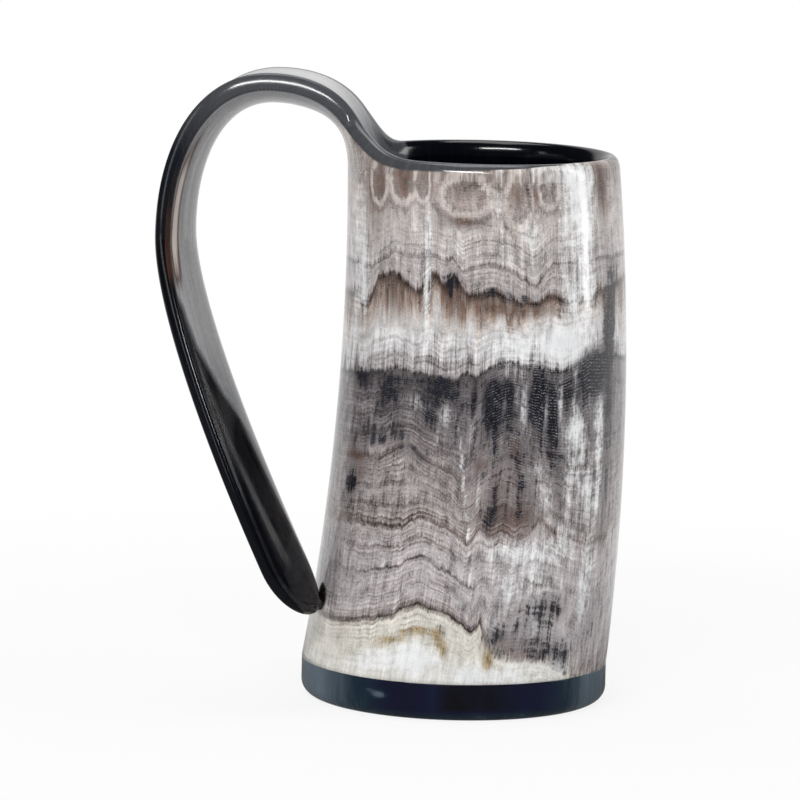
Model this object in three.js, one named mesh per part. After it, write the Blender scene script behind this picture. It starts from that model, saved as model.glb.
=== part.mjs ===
// A drinking tankard made from one polished horn and closed below by a black horn plate.
// The handle is a strip left standing on the rim, bent up, out and down to the lower wall.
// Millimetres, +Z up. The origin is the centre of the underside, and the handle points to -X.

import * as THREE from 'three';

const { lerp, smoothstep, degToRad } = THREE.MathUtils;

// Wall of the cup
const RIM_HEIGHT = 153.5;
const FOOT_RADIUS = 42.8;
const RIM_RADIUS = 37.8;
const FOOT_WALL = 6;
const RIM_WALL = 5;
const LIP_DEPTH = 4.5; // height of the rounded lip above the straight wall
const RIM_SHIFT = 4.6; // the horn leans away from the handle, rim centre from foot centre
const BODY_BOW = 3.6; // the horn's own bend, at mid height

// Base plate
const PLATE_HEIGHT = 10.6;
const PLATE_EDGE_RADIUS = 4; // rounding of the lower edge
const PLUG_HEIGHT = 5; // the part of the plate that stands in the bore
const PLUG_GAP = 0.3; // clearance between the plug and the bore

// Middle line of the handle strip, in the plane of symmetry down to its side
const CREST_RISE = 16.2; // above the rim
const CREST_REACH = 20.6; // from the wall at the rim
const SIDE_REACH = 46.8;
const SIDE_DROP = 24; // below the rim
const TIP_HEIGHT = 27.5; // above the underside
const TIP_SLOPE = degToRad(64); // how steeply the tip runs down to the wall
const TIP_SWAY = 26; // the tip lands this far to the -Y side
const ROOT_PULL = 13.5; // lengths of the curve's handles at its four points
const CREST_PULL_IN = 14.2;
const CREST_PULL_OUT = 16.5;
const SIDE_PULL_UP = 23;
const SIDE_PULL_DOWN = 22;
const TIP_PULL = 38;

// Section of the handle strip
const STRIP_WIDTH = 25;
const ROOT_EDGE = 5.4; // thickness along the edges
const TIP_EDGE = 3.8;
const STRIP_EDGE_DEPTH = 1.8; // how far the rounded edge stands out
const ROOT_CROWN = 1.5; // extra thickness in the middle of the side that faces the loop
const TIP_CROWN = 2.4;
const BACK_FILL = 1.6; // extra thickness in the middle of the other side
const STRIP_TWIST = degToRad(9); // the strip turns towards -Y on its way down
const TIP_ROUND = 14; // length of the rounded end
const TIP_THINNING = 0.4; // share of the thickness that is left at the very end

// Fillets between the rim and the strip
const NEAR_FILLET_ANGLE = degToRad(64); // from the middle of the strip, on the -Y side
const FAR_FILLET_ANGLE = degToRad(46);
const FILLET_HEIGHT = 14;
const BULGE_START = 28; // along the strip, where its section is full

// Glue
const SEAT_GAP = 0.3; // between a drop or bead of glue and the horn
const SEAL_LEG = 4; // legs of the bead's section
const TIP_CLEARANCE = 1.2; // between the handle's tip and the wall
const BOND_RADIUS = 4;

// Facets
const WALL_ROWS = 11;
const RIM_COLUMNS = 44; // round the rim, outside the strip and its fillets
const FILLET_STEPS = 6; // along each fillet, up to where the strip's rows begin
const FILLET_SPLIT = degToRad(60); // the fillet's turn there
const STRIP_COLUMNS = 14; // across the strip, an even number
const NECK_ROWS = 4; // along the strip beside the rest of the fillets
const STRIP_ROWS = 32;
const TIP_ROWS = 6;
const TIP_FLAT = 0.5; // of a row, left blunt at the very tip
const EDGE_STEPS = 4;
const BOND_RINGS = 4;
const BOND_SIDES = 16;
const FIT_ROUNDS = 12; // tries to set the tip off the wall, each closer than the last

const BLACK_HORN = { color: 0x14161c, roughness: 0.18, metalness: 0 };
const PALE_HORN = { color: 0xa99f98, roughness: 0.22, metalness: 0 };
const RESIN = { color: 0x1c1814, roughness: 0.3, metalness: 0 };

const Y_AXIS = new THREE.Vector3(0, 1, 0);
const Z_AXIS = new THREE.Vector3(0, 0, 1);
const ROUND_EDGE = 1; // powers of the free edge's superellipse
const SQUARE_EDGE = 0.6;
const SPLIT_RISE = FILLET_HEIGHT * (1 - Math.cos(FILLET_SPLIT));

// Share of the wall's height, 0 at the foot and 1 at the lip
function heightShare(z) {
  return (z - PLATE_HEIGHT) / (RIM_HEIGHT - PLATE_HEIGHT);
}

function wallRadius(z) {
  return lerp(FOOT_RADIUS, RIM_RADIUS, heightShare(z));
}

function wallThickness(z) {
  return lerp(FOOT_WALL, RIM_WALL, heightShare(z));
}

function boreRadius(z) {
  return wallRadius(z) - wallThickness(z);
}

function middleRadius(z) {
  return wallRadius(z) - wallThickness(z) / 2;
}

// The horn's axis leans by RIM_SHIFT and bows by BODY_BOW, in the plane of the handle.
function axisX(z) {
  const share = heightShare(z);
  return RIM_SHIFT * share + 4 * BODY_BOW * share * (1 - share);
}

// The strip grows out of the wall at its root, where the lip begins to round over.
const ROOT_HEIGHT = RIM_HEIGHT - LIP_DEPTH;
const ROOT_RADIUS = middleRadius(ROOT_HEIGHT);
const ROOT_STEP = 1; // down the wall, to find its direction at the root

// A point at an angle round the axis, counted from the handle's side towards +Y
function roundAxis(radius, angle, z) {
  return new THREE.Vector3(axisX(z) - radius * Math.cos(angle), radius * Math.sin(angle), z);
}

function addQuad(triangles, a, b, c, d) {
  triangles.push(a, b, c, a, c, d);
}

function makeGeometry(points, triangles) {
  const geometry = new THREE.BufferGeometry();
  const numbers = points.flatMap((point) => [point.x, point.y, point.z]);
  geometry.setAttribute('position', new THREE.Float32BufferAttribute(numbers, 3));
  geometry.setIndex(triangles);
  geometry.computeVertexNormals();
  return geometry;
}

function makeMesh(name, geometry, finish) {
  const mesh = new THREE.Mesh(geometry, new THREE.MeshStandardMaterial(finish));
  mesh.name = name;
  return mesh;
}

// The strip's middle line: up from the rim, over the crest, down the side and in to the wall.
// Its end stands off the wall by a given length.
function makeStripPath(standOff) {
  const root = roundAxis(ROOT_RADIUS, 0, ROOT_HEIGHT);
  const below = roundAxis(middleRadius(ROOT_HEIGHT - ROOT_STEP), 0, ROOT_HEIGHT - ROOT_STEP);
  const rise = root.clone().sub(below).normalize();
  const wallX = roundAxis(RIM_RADIUS, 0, RIM_HEIGHT).x;
  const crest = new THREE.Vector3(wallX - CREST_REACH, 0, RIM_HEIGHT + CREST_RISE);
  const side = new THREE.Vector3(wallX - SIDE_REACH, 0, RIM_HEIGHT - SIDE_DROP);
  const wallAngle = -Math.asin(TIP_SWAY / wallRadius(TIP_HEIGHT));
  const inwards = new THREE.Vector3(Math.cos(TIP_SLOPE), 0, -Math.sin(TIP_SLOPE));
  const tip = roundAxis(wallRadius(TIP_HEIGHT), wallAngle, TIP_HEIGHT);
  tip.x -= standOff;
  const pull = (from, x, z) => from.clone().add(new THREE.Vector3(x, 0, z));
  const path = new THREE.CurvePath();
  path.add(new THREE.CubicBezierCurve3(
    root, root.clone().addScaledVector(rise, ROOT_PULL), pull(crest, CREST_PULL_IN, 0), crest));
  path.add(new THREE.CubicBezierCurve3(
    crest, pull(crest, -CREST_PULL_OUT, 0), pull(side, 0, SIDE_PULL_UP), side));
  path.add(new THREE.CubicBezierCurve3(
    side, pull(side, 0, -SIDE_PULL_DOWN), tip.clone().addScaledVector(inwards, -TIP_PULL), tip));
  return path;
}

// A fillet is a quarter ellipse that leaves the rim level and ends along the side of the strip.
// At a turn it gives the angle round the wall and the height above the root.
function filletAt(turn, filletAngle) {
  const half = STRIP_WIDTH / 2 / ROOT_RADIUS;
  return {
    angle: lerp(filletAngle, half, Math.sin(turn)),
    along: FILLET_HEIGHT * (1 - Math.cos(turn)),
  };
}

// Columns of the wall, each with its angle and the height where it ends above the root.
// They run from the strip's -Y side over the strip, the far fillet, the rim and the near fillet.
function makeColumns() {
  const columns = [];
  const nearEnd = filletAt(FILLET_SPLIT, NEAR_FILLET_ANGLE);
  const farEnd = filletAt(FILLET_SPLIT, FAR_FILLET_ANGLE);
  for (let column = 0; column <= STRIP_COLUMNS; column += 1) {
    const side = (2 * column) / STRIP_COLUMNS - 1;
    columns.push({ angle: side * (side < 0 ? nearEnd : farEnd).angle, along: SPLIT_RISE });
  }
  for (let step = FILLET_STEPS - 1; step >= 0; step -= 1) {
    columns.push(filletAt((FILLET_SPLIT * step) / FILLET_STEPS, FAR_FILLET_ANGLE));
  }
  const rest = 2 * Math.PI - NEAR_FILLET_ANGLE - FAR_FILLET_ANGLE;
  for (let column = 1; column < RIM_COLUMNS; column += 1) {
    columns.push({ angle: FAR_FILLET_ANGLE + (rest * column) / RIM_COLUMNS, along: 0 });
  }
  for (let step = 0; step < FILLET_STEPS; step += 1) {
    const { angle, along } = filletAt((FILLET_SPLIT * step) / FILLET_STEPS, NEAR_FILLET_ANGLE);
    columns.push({ angle: -angle, along });
  }
  return columns;
}

// Rows along the strip above the split: how far along, and the angles of its two sides
function makeStripRows(length) {
  const rows = [];
  const half = STRIP_WIDTH / 2 / ROOT_RADIUS;
  const tipStart = length - TIP_ROUND;
  for (let row = 1; row <= NECK_ROWS; row += 1) {
    const turn = lerp(FILLET_SPLIT, Math.PI / 2, row / NECK_ROWS);
    const near = filletAt(turn, NEAR_FILLET_ANGLE);
    rows.push({ along: near.along, near: near.angle, far: filletAt(turn, FAR_FILLET_ANGLE).angle });
  }
  for (let row = 1; row <= STRIP_ROWS; row += 1) {
    rows.push({ along: lerp(FILLET_HEIGHT, tipStart, row / STRIP_ROWS), near: half, far: half });
  }
  for (let row = 1; row <= TIP_ROWS; row += 1) {
    const turn = (Math.PI / 2) * (row / (TIP_ROWS + TIP_FLAT));
    const angle = half * Math.cos(turn);
    const fullness = lerp(TIP_THINNING, 1, Math.cos(turn));
    rows.push({ along: tipStart + TIP_ROUND * Math.sin(turn), near: angle, far: angle, fullness });
  }
  return rows;
}

// The wall and the strip are one sheet, described by knots on its middle surface.
// A knot holds its point, the outward normal, the thickness on either side and its edge.
function makeWallKnot(angle, z) {
  const half = wallThickness(z) / 2;
  return {
    point: roundAxis(middleRadius(z), angle, z),
    normal: new THREE.Vector3(-Math.cos(angle), Math.sin(angle), 0),
    front: half,
    back: half,
    edge: { half, depth: LIP_DEPTH, power: ROUND_EDGE },
  };
}

// A function that gives the knot at an angle and a height above the root.
// Above the root the wall's arc is carried along the strip's path, thickened across the strip.
// It starts level, as the wall's rings are, and soon stands square to the path.
function makeSheet(path, length) {
  return ({ angle, along, side = 1, fullness = 1 }) => {
    if (along <= 0) {
      return makeWallKnot(angle, ROOT_HEIGHT + along);
    }
    const share = along / length;
    const centre = path.getPoint(share);
    const upright = Z_AXIS.clone().lerp(path.getTangent(share), smoothstep(along, 0, SPLIT_RISE));
    upright.normalize();
    const across = Y_AXIS.clone().addScaledVector(upright, -upright.y).normalize();
    across.applyAxisAngle(upright, STRIP_TWIST * smoothstep(share, 0, 1));
    const facing = upright.clone().cross(across);
    const grown = smoothstep(along, 0, BULGE_START);
    const half = lerp(wallThickness(ROOT_HEIGHT), lerp(ROOT_EDGE, TIP_EDGE, share), grown) / 2;
    const bulge = fullness * (1 - side * side) * smoothstep(along, SPLIT_RISE, BULGE_START);
    centre.addScaledVector(facing, half * (1 - fullness));
    return {
      point: centre
        .addScaledVector(across, ROOT_RADIUS * Math.sin(angle))
        .addScaledVector(facing, -ROOT_RADIUS * (1 - Math.cos(angle))),
      normal: facing.multiplyScalar(Math.cos(angle)).addScaledVector(across, Math.sin(angle)),
      front: half * fullness + bulge * lerp(ROOT_CROWN, TIP_CROWN, share),
      back: half * fullness + bulge * BACK_FILL,
      edge: {
        half: half * fullness,
        depth: lerp(LIP_DEPTH, STRIP_EDGE_DEPTH, grown),
        power: lerp(ROUND_EDGE, SQUARE_EDGE, grown),
      },
    };
  };
}

// Thickens the sheet: a front and a back for every knot, a flat foot, and a rounded free edge
function thickenSheet(wallRows, stripRows) {
  const points = [];
  const triangles = [];
  const addKnot = (knot) => {
    knot.frontIndex = points.push(knot.point.clone().addScaledVector(knot.normal, knot.front)) - 1;
    knot.backIndex = points.push(knot.point.clone().addScaledVector(knot.normal, -knot.back)) - 1;
  };
  wallRows.flat().forEach(addKnot);
  stripRows.flat().forEach(addKnot);
  const addPatch = (a, b, c, d) => {
    addQuad(triangles, a.frontIndex, d.frontIndex, c.frontIndex, b.frontIndex);
    addQuad(triangles, a.backIndex, b.backIndex, c.backIndex, d.backIndex);
  };
  const columns = wallRows[0].length;
  for (let row = 0; row + 1 < wallRows.length; row += 1) {
    const [lower, upper] = [wallRows[row], wallRows[row + 1]];
    for (let column = 0; column < columns; column += 1) {
      const next = (column + 1) % columns;
      addPatch(lower[column], lower[next], upper[next], upper[column]);
    }
  }
  const rim = wallRows.at(-1);
  const sheetRows = [rim.slice(0, STRIP_COLUMNS + 1), ...stripRows];
  for (let row = 0; row + 1 < sheetRows.length; row += 1) {
    const [lower, upper] = [sheetRows[row], sheetRows[row + 1]];
    for (let column = 0; column < STRIP_COLUMNS; column += 1) {
      addPatch(lower[column], lower[column + 1], upper[column + 1], upper[column]);
    }
  }
  const foot = wallRows[0];
  for (let column = 0; column < columns; column += 1) {
    const [here, next] = [foot[column], foot[(column + 1) % columns]];
    addQuad(triangles, here.frontIndex, next.frontIndex, next.backIndex, here.backIndex);
  }
  const nearSide = stripRows.map((row) => row[0]);
  const tipRow = stripRows.at(-1).slice(1, -1);
  const farSide = stripRows.map((row) => row.at(-1)).reverse();
  const freeEdge = [...rim.slice(STRIP_COLUMNS), rim[0], ...nearSide, ...tipRow, ...farSide];
  roundFreeEdge(points, triangles, freeEdge);
  return makeGeometry(points, triangles);
}

// The free edge runs round the rim, up one side of the strip, round its tip and down the other.
// Its section is half of a superellipse, round at the lip and squarer along the strip.
function roundFreeEdge(points, triangles, freeEdge) {
  const count = freeEdge.length;
  const sections = freeEdge.map((knot, place) => {
    const before = freeEdge[(place + count - 1) % count].point;
    const after = freeEdge[(place + 1) % count].point;
    const outwards = after.clone().sub(before).cross(knot.normal).normalize();
    const section = [knot.frontIndex];
    for (let step = 1; step < EDGE_STEPS; step += 1) {
      const turn = Math.PI * (0.5 - step / EDGE_STEPS);
      const { half, depth, power } = knot.edge;
      const raise = half * Math.sign(Math.sin(turn)) * Math.abs(Math.sin(turn)) ** power;
      const reach = depth * Math.cos(turn) ** power;
      const point = knot.point.clone().addScaledVector(knot.normal, raise).addScaledVector(outwards, reach);
      section.push(points.push(point) - 1);
    }
    section.push(knot.backIndex);
    return section;
  });
  for (let place = 0; place < count; place += 1) {
    const [here, next] = [sections[place], sections[(place + 1) % count]];
    for (let step = 0; step < EDGE_STEPS; step += 1) {
      addQuad(triangles, here[step], here[step + 1], next[step + 1], next[step]);
    }
  }
}

function makeHornShell(columns, standOff) {
  const path = makeStripPath(standOff);
  const length = path.getLength();
  const sheet = makeSheet(path, length);
  const wallRows = [];
  for (let row = 0; row <= WALL_ROWS; row += 1) {
    wallRows.push(columns.map(({ angle, along }) => sheet({
      angle,
      along: lerp(PLATE_HEIGHT - ROOT_HEIGHT, along, row / WALL_ROWS),
    })));
  }
  const stripRows = makeStripRows(length).map(({ along, near, far, fullness }) => {
    const knots = [];
    for (let column = 0; column <= STRIP_COLUMNS; column += 1) {
      const side = (2 * column) / STRIP_COLUMNS - 1;
      knots.push(sheet({ angle: side * (side < 0 ? near : far), along, side, fullness }));
    }
    return knots;
  });
  return thickenSheet(wallRows, stripRows);
}

// Stacks closed rings of equal length into a solid, from the lowest ring to the highest
function stackRings(rings) {
  const points = rings.flat();
  const triangles = [];
  const sides = rings[0].length;
  for (let ring = 0; ring + 1 < rings.length; ring += 1) {
    for (let side = 0; side < sides; side += 1) {
      const next = (side + 1) % sides;
      const [lower, upper] = [ring * sides, (ring + 1) * sides];
      addQuad(triangles, lower + side, upper + side, upper + next, lower + next);
    }
  }
  const middleOf = (ring) => ring.reduce((sum, point) => sum.add(point), new THREE.Vector3())
    .divideScalar(sides);
  const bottom = points.push(middleOf(rings[0])) - 1;
  const top = points.push(middleOf(rings.at(-1))) - 1;
  const last = (rings.length - 1) * sides;
  for (let side = 0; side < sides; side += 1) {
    const next = (side + 1) % sides;
    triangles.push(bottom, side, next, top, last + next, last + side);
  }
  return makeGeometry(points, triangles);
}

// The plate: a rounded lower edge, a shoulder under the wall, and the plug in the bore
function makeBasePlate(angles) {
  const ringAt = (radius, z, height = z) => angles.map((angle) => {
    const point = roundAxis(radius, angle, z);
    point.z = height;
    return point;
  });
  const rings = [];
  for (let step = 0; step <= EDGE_STEPS; step += 1) {
    const turn = (Math.PI / 2) * (step / EDGE_STEPS);
    const radius = FOOT_RADIUS - PLATE_EDGE_RADIUS * (1 - Math.sin(turn));
    rings.push(ringAt(radius, PLATE_HEIGHT, PLATE_EDGE_RADIUS * (1 - Math.cos(turn))));
  }
  const plugTop = PLATE_HEIGHT + PLUG_HEIGHT;
  rings.push(ringAt(FOOT_RADIUS, PLATE_HEIGHT));
  rings.push(ringAt(boreRadius(PLATE_HEIGHT) - PLUG_GAP, PLATE_HEIGHT));
  rings.push(ringAt(boreRadius(plugTop) - PLUG_GAP, plugTop));
  return stackRings(rings);
}

// The bead of resin in the corner between the plug and the bore, hollow towards the drink
function makeBaseSeal(angles) {
  const floor = PLATE_HEIGHT + PLUG_HEIGHT + SEAT_GAP;
  const section = [{ inwards: 0, z: floor }];
  for (let step = 0; step <= EDGE_STEPS; step += 1) {
    const turn = (Math.PI / 2) * (step / EDGE_STEPS);
    section.push({ inwards: SEAL_LEG * (1 - Math.sin(turn)), z: floor + SEAL_LEG * (1 - Math.cos(turn)) });
  }
  const points = angles.flatMap((angle) => section.map(
    ({ inwards, z }) => roundAxis(boreRadius(z) - SEAT_GAP - inwards, angle, z)));
  const triangles = [];
  for (let column = 0; column < angles.length; column += 1) {
    const here = column * section.length;
    const next = ((column + 1) % angles.length) * section.length;
    for (let step = 0; step < section.length; step += 1) {
      const after = (step + 1) % section.length;
      addQuad(triangles, here + step, next + step, next + after, here + after);
    }
  }
  return makeGeometry(points, triangles);
}

// Where the strip comes closest to the wall on its way down, and the gap there.
// In the shell the front and back points of the wall's knots come before those of the strip.
function findTipContact(shell, columnCount) {
  const position = shell.getAttribute('position');
  const best = { gap: Infinity };
  const point = new THREE.Vector3();
  for (let index = 2 * columnCount * (WALL_ROWS + 1); index < position.count; index += 1) {
    point.fromBufferAttribute(position, index);
    const gap = Math.hypot(point.x - axisX(point.z), point.y) - wallRadius(point.z);
    if (point.z < RIM_HEIGHT - SIDE_DROP && gap < best.gap) {
      best.gap = gap;
      best.z = point.z;
      best.angle = Math.asin(point.y / (wallRadius(point.z) + gap));
    }
  }
  return best;
}

// Moves the strip's end in or out until the tip clears the wall by TIP_CLEARANCE
function fitHornShell(columns) {
  const fitted = {};
  let standOff = TIP_CLEARANCE;
  for (let round = 0; round < FIT_ROUNDS; round += 1) {
    fitted.shell = makeHornShell(columns, standOff);
    fitted.contact = findTipContact(fitted.shell, columns.length);
    standOff += TIP_CLEARANCE - fitted.contact.gap;
  }
  return fitted;
}

// A drop of glue that fits the wall and domes up to the tip
function makeTipBond(contact) {
  const height = contact.gap - 2 * SEAT_GAP;
  const place = (radius, turn, lift) => {
    const z = contact.z + radius * Math.sin(turn);
    const angle = contact.angle + (radius * Math.cos(turn)) / wallRadius(contact.z);
    return roundAxis(wallRadius(z) + SEAT_GAP + lift, angle, z);
  };
  const ringAt = (radius, lift) => Array.from(
    { length: BOND_SIDES }, (unused, side) => place(radius, (2 * Math.PI * side) / BOND_SIDES, lift));
  const rings = [];
  for (let ring = 1; ring <= BOND_RINGS; ring += 1) {
    rings.push(ringAt((BOND_RADIUS * ring) / BOND_RINGS, 0));
  }
  for (let ring = BOND_RINGS - 1; ring >= 1; ring -= 1) {
    const share = ring / BOND_RINGS;
    rings.push(ringAt(BOND_RADIUS * share, height * (1 - share * share)));
  }
  return stackRings(rings);
}

const columns = makeColumns();
const angles = columns.map(({ angle }) => angle);
const { shell, contact } = fitHornShell(columns);
const tankard = new THREE.Group();
tankard.name = 'horn_tankard';
tankard.add(
  makeMesh('horn_shell', shell, PALE_HORN),
  makeMesh('base_plate', makeBasePlate(angles), BLACK_HORN),
  makeMesh('base_seal', makeBaseSeal(angles), RESIN),
  makeMesh('tip_bond', makeTipBond(contact), RESIN),
);

export default tankard;
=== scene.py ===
"""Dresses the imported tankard: streaked polished horn, a black horn base, set resin and a white studio.

Lengths are metres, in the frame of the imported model: +Z up, the handle towards -X, and the
origin in the middle of the underside.
"""

import math

import bpy
import numpy as np
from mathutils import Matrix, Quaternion, Vector


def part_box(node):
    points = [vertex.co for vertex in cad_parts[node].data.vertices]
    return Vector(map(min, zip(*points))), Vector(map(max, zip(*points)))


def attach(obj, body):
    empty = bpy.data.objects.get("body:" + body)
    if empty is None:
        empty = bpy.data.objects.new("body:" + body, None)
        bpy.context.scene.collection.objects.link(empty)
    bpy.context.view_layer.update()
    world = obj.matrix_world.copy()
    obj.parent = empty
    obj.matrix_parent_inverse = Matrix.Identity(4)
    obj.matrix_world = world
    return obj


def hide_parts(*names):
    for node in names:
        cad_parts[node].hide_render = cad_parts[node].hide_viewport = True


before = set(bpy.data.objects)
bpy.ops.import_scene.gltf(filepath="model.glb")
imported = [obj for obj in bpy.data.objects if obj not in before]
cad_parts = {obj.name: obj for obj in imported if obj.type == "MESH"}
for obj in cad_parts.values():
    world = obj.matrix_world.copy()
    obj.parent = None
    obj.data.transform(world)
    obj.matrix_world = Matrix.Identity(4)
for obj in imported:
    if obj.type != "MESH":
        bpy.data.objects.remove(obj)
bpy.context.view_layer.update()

bl_info = {
    "name": "Horn tankard",
    "version": (1, 0, 0),
    "blender": (4, 5, 0),
    "location": "View3D > Sidebar > Tankard",
    "description": "Builds a polished horn tankard over its solids, in a white studio",
    "category": "Object",
}

MM = 0.001
PLATE_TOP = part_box("horn_shell")[0].z


def paint(red, green, blue):
    """The linear colour of three screen values from 0 to 255."""
    screen = np.array([red, green, blue]) / 255
    linear = np.where(screen <= 0.04045, screen / 12.92, ((screen + 0.055) / 1.055) ** 2.4)
    return tuple(float(channel) for channel in linear)


def size(name, millimetres, words):
    """A length setting, in metres, from its value in millimetres."""
    return bpy.props.FloatProperty(
        name=name, description=words, default=millimetres * MM, unit="LENGTH", precision=4
    )


def turn(name, degrees, words):
    """An angle setting, in radians, from its value in degrees."""
    return bpy.props.FloatProperty(
        name=name, description=words, default=math.radians(degrees), subtype="ANGLE", unit="ROTATION"
    )


def proportion(name, value, words):
    """A share setting from 0 to 1."""
    return bpy.props.FloatProperty(
        name=name, description=words, default=value, min=0, max=1, subtype="FACTOR"
    )


def tint(name, screen, words):
    """A colour setting, from its three screen values."""
    return bpy.props.FloatVectorProperty(
        name=name, description=words, default=paint(*screen), size=3, min=0, max=1, subtype="COLOR"
    )


class CupSettings(bpy.types.PropertyGroup):
    """Sizes of the cup's wall and of its base."""

    rim_height: size("Rim height", 153.5, "Top of the lip above the underside")
    foot_radius: size("Foot radius", 42.8, "Outside of the wall at the plate")
    rim_radius: size("Rim radius", 37.8, "Outside of the wall at the lip")
    foot_wall: size("Foot wall", 6, "Thickness of the wall at the plate")
    rim_wall: size("Rim wall", 5, "Thickness of the wall at the lip")
    lip_depth: size("Lip depth", 4.5, "Height of the rounded lip")
    rim_shift: size("Rim shift", 4.6, "How far the horn leans away from the handle")
    body_bow: size("Body bow", 3.6, "The horn's own bend at mid height")
    plate_height: size("Plate height", PLATE_TOP / MM, "Top of the base plate's shoulder")
    plate_edge: size("Plate edge", 4, "Rounding of the plate's lower edge")
    plug_height: size("Plug height", 5, "Part of the plate that stands in the bore")
    plug_gap: size("Plug gap", 0.3, "Clearance between the plug and the bore")
    seam_groove: size("Seam groove", 0.25, "Rounding of the plate's upper edge at the seam")
    seat_gap: size("Seat gap", 0.3, "Clearance between the glue and the horn")
    seal_leg: size("Seal leg", 4, "Legs of the resin bead's section")
    bond_radius: size("Bond radius", 4, "Radius of the drop of glue under the handle's tip")


class StripSettings(bpy.types.PropertyGroup):
    """Sizes of the strip that is bent into the handle."""

    crest_rise: size("Crest rise", 16.2, "Crest of the middle line above the rim")
    crest_reach: size("Crest reach", 20.6, "Crest of the middle line from the wall")
    side_reach: size("Side reach", 46.8, "Outermost point from the wall")
    side_drop: size("Side drop", 24, "Outermost point below the rim")
    tip_height: size("Tip height", 27.5, "End of the middle line above the underside")
    tip_slope: turn("Tip slope", 64, "How steeply the tip runs down to the wall")
    tip_sway: size("Tip sway", 26, "How far the tip lands to the -Y side")
    tip_clearance: size("Tip clearance", 1.2, "Between the tip and the wall")
    tip_stand: size("Tip stand", 1.2, "End of the middle line from the wall, fitted to the clearance")
    root_pull: size("Root pull", 13.5, "Length of the curve's handle at the root")
    crest_pull_in: size("Crest pull in", 14.2, "Length of the curve's handle before the crest")
    crest_pull_out: size("Crest pull out", 16.5, "Length of the curve's handle after the crest")
    side_pull_up: size("Side pull up", 23, "Length of the curve's handle above the side")
    side_pull_down: size("Side pull down", 22, "Length of the curve's handle below the side")
    tip_pull: size("Tip pull", 38, "Length of the curve's handle at the tip")
    width: size("Width", 25, "Width between the rounded edges")
    root_edge: size("Root edge", 5.4, "Thickness along the edges at the root")
    tip_edge: size("Tip edge", 3.8, "Thickness along the edges at the tip")
    edge_depth: size("Edge depth", 1.8, "How far the rounded edge stands out")
    root_crown: size("Root crown", 1.5, "Extra thickness towards the loop at the root")
    tip_crown: size("Tip crown", 2.4, "Extra thickness towards the loop at the tip")
    back_fill: size("Back fill", 1.6, "Extra thickness on the other side")
    twist: turn("Twist", 9, "Turn towards -Y on the way down")
    tip_round: size("Tip round", 14, "Length of the rounded end")
    tip_thinning: proportion("Tip thinning", 0.4, "Share of the thickness that is left at the end")
    near_fillet: turn("Near fillet", 64, "Where the fillet on the -Y side leaves the rim")
    far_fillet: turn("Far fillet", 46, "Where the fillet on the +Y side leaves the rim")
    fillet_height: size("Fillet height", 14, "Height of the fillets above the root")
    bulge_start: size("Bulge start", 28, "Along the strip, where its section is full")


class HornColours(bpy.types.PropertyGroup):
    """Colours of the horn and the resin."""

    cream: tint("Cream", (242, 243, 244), "Palest horn")
    brown: tint("Brown", (84, 58, 44), "Warm patches and lines")
    umber: tint("Umber", (84, 66, 60), "Dark growth lines")
    pearl: tint("Pearl", (214, 206, 202), "Pale growth lines")
    soot: tint("Soot", (18, 20, 30), "Blue-black patches")
    amber: tint("Amber", (156, 126, 64), "Yellow lines near the foot")
    blush: tint("Blush", (216, 206, 200), "Pale outlines under the rim")
    black: tint("Black horn", (5, 6, 11), "Base plate at its darkest")
    # The plate's colours from navy to slate also paint light on it: the reflection along its lower edge and
    # towards its sides, and its highlights
    navy: tint("Navy horn", (12, 17, 46), "Base plate, smoky")
    teal: tint("Teal horn", (20, 40, 54), "Base plate, smokier")
    slate: tint("Slate horn", (104, 118, 130), "Base plate at its palest")
    resin: tint("Resin", (30, 26, 24), "Set resin")


class StudioSettings(bpy.types.PropertyGroup):
    """Camera and light."""

    azimuth: turn("Azimuth", 5, "Turn of the camera round the tankard")
    distance: size("Distance", 1650, "Camera from the target, along the floor")
    height: size("Height", 312, "Camera above the floor")
    roll: turn("Roll", 1.4, "Turn of the camera about its view")
    target: bpy.props.FloatVectorProperty(
        name="Target", description="Point in the middle of the picture",
        default=(-0.017, 0, 0.083), size=3, unit="LENGTH",
    )
    lens: bpy.props.FloatProperty(
        name="Lens", description="Focal length on a 36 mm sensor", default=267.6, unit="CAMERA"
    )
    ambient: bpy.props.FloatProperty(
        name="Ambient", description="Strength of the light from all round", default=0.288, min=0
    )
    floor_grey: tint("Floor", (244, 244, 244), "Colour of the floor")


class TankardSettings(bpy.types.PropertyGroup):
    """All settings of the tankard."""

    cup: bpy.props.PointerProperty(type=CupSettings, name="Cup", description="Wall and base")
    strip: bpy.props.PointerProperty(type=StripSettings, name="Strip", description="Handle")
    colours: bpy.props.PointerProperty(type=HornColours, name="Colours", description="Colours")
    studio: bpy.props.PointerProperty(type=StudioSettings, name="Studio", description="Studio")


# Facets of the shell, samples of its middle line's curves, and rounds of the fit
WALL_ROWS = 110
RIM_COLUMNS = 210
FILLET_STEPS = 14
FILLET_SPLIT = math.radians(60)
STRIP_COLUMNS = 32
NECK_ROWS = 10
STRIP_ROWS = 150
TIP_ROWS = 14
TIP_TURN = math.radians(83)
EDGE_STEPS = 12
CURVE_SAMPLES = 600
FIT_ROUNDS = 12
# Powers of the superellipse of the free edge, on the rim and on the strip
ROUND_EDGE = 1
SQUARE_EDGE = 0.6

# Facets of the plate and the glue
RING_SIDES = 240
ARC_STEPS = 10
PLATE_ROWS = 12
DISC_RINGS = (0.0, 0.35, 0.7, 0.95)  # shares of the disc's radius
DROP_RINGS = 10
DROP_SIDES = 48


def mix(low, high, share):
    """Straight mix of two values."""
    return low + (high - low) * share


def ease(value, low, high):
    """A smooth step from 0 at low to 1 at high."""
    share = np.clip((value - low) / (high - low), 0, 1)
    return share * share * (3 - 2 * share)


def unit(vectors):
    """Vectors of the same direction and length one."""
    return vectors / np.linalg.norm(vectors, axis=-1, keepdims=True)


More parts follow.
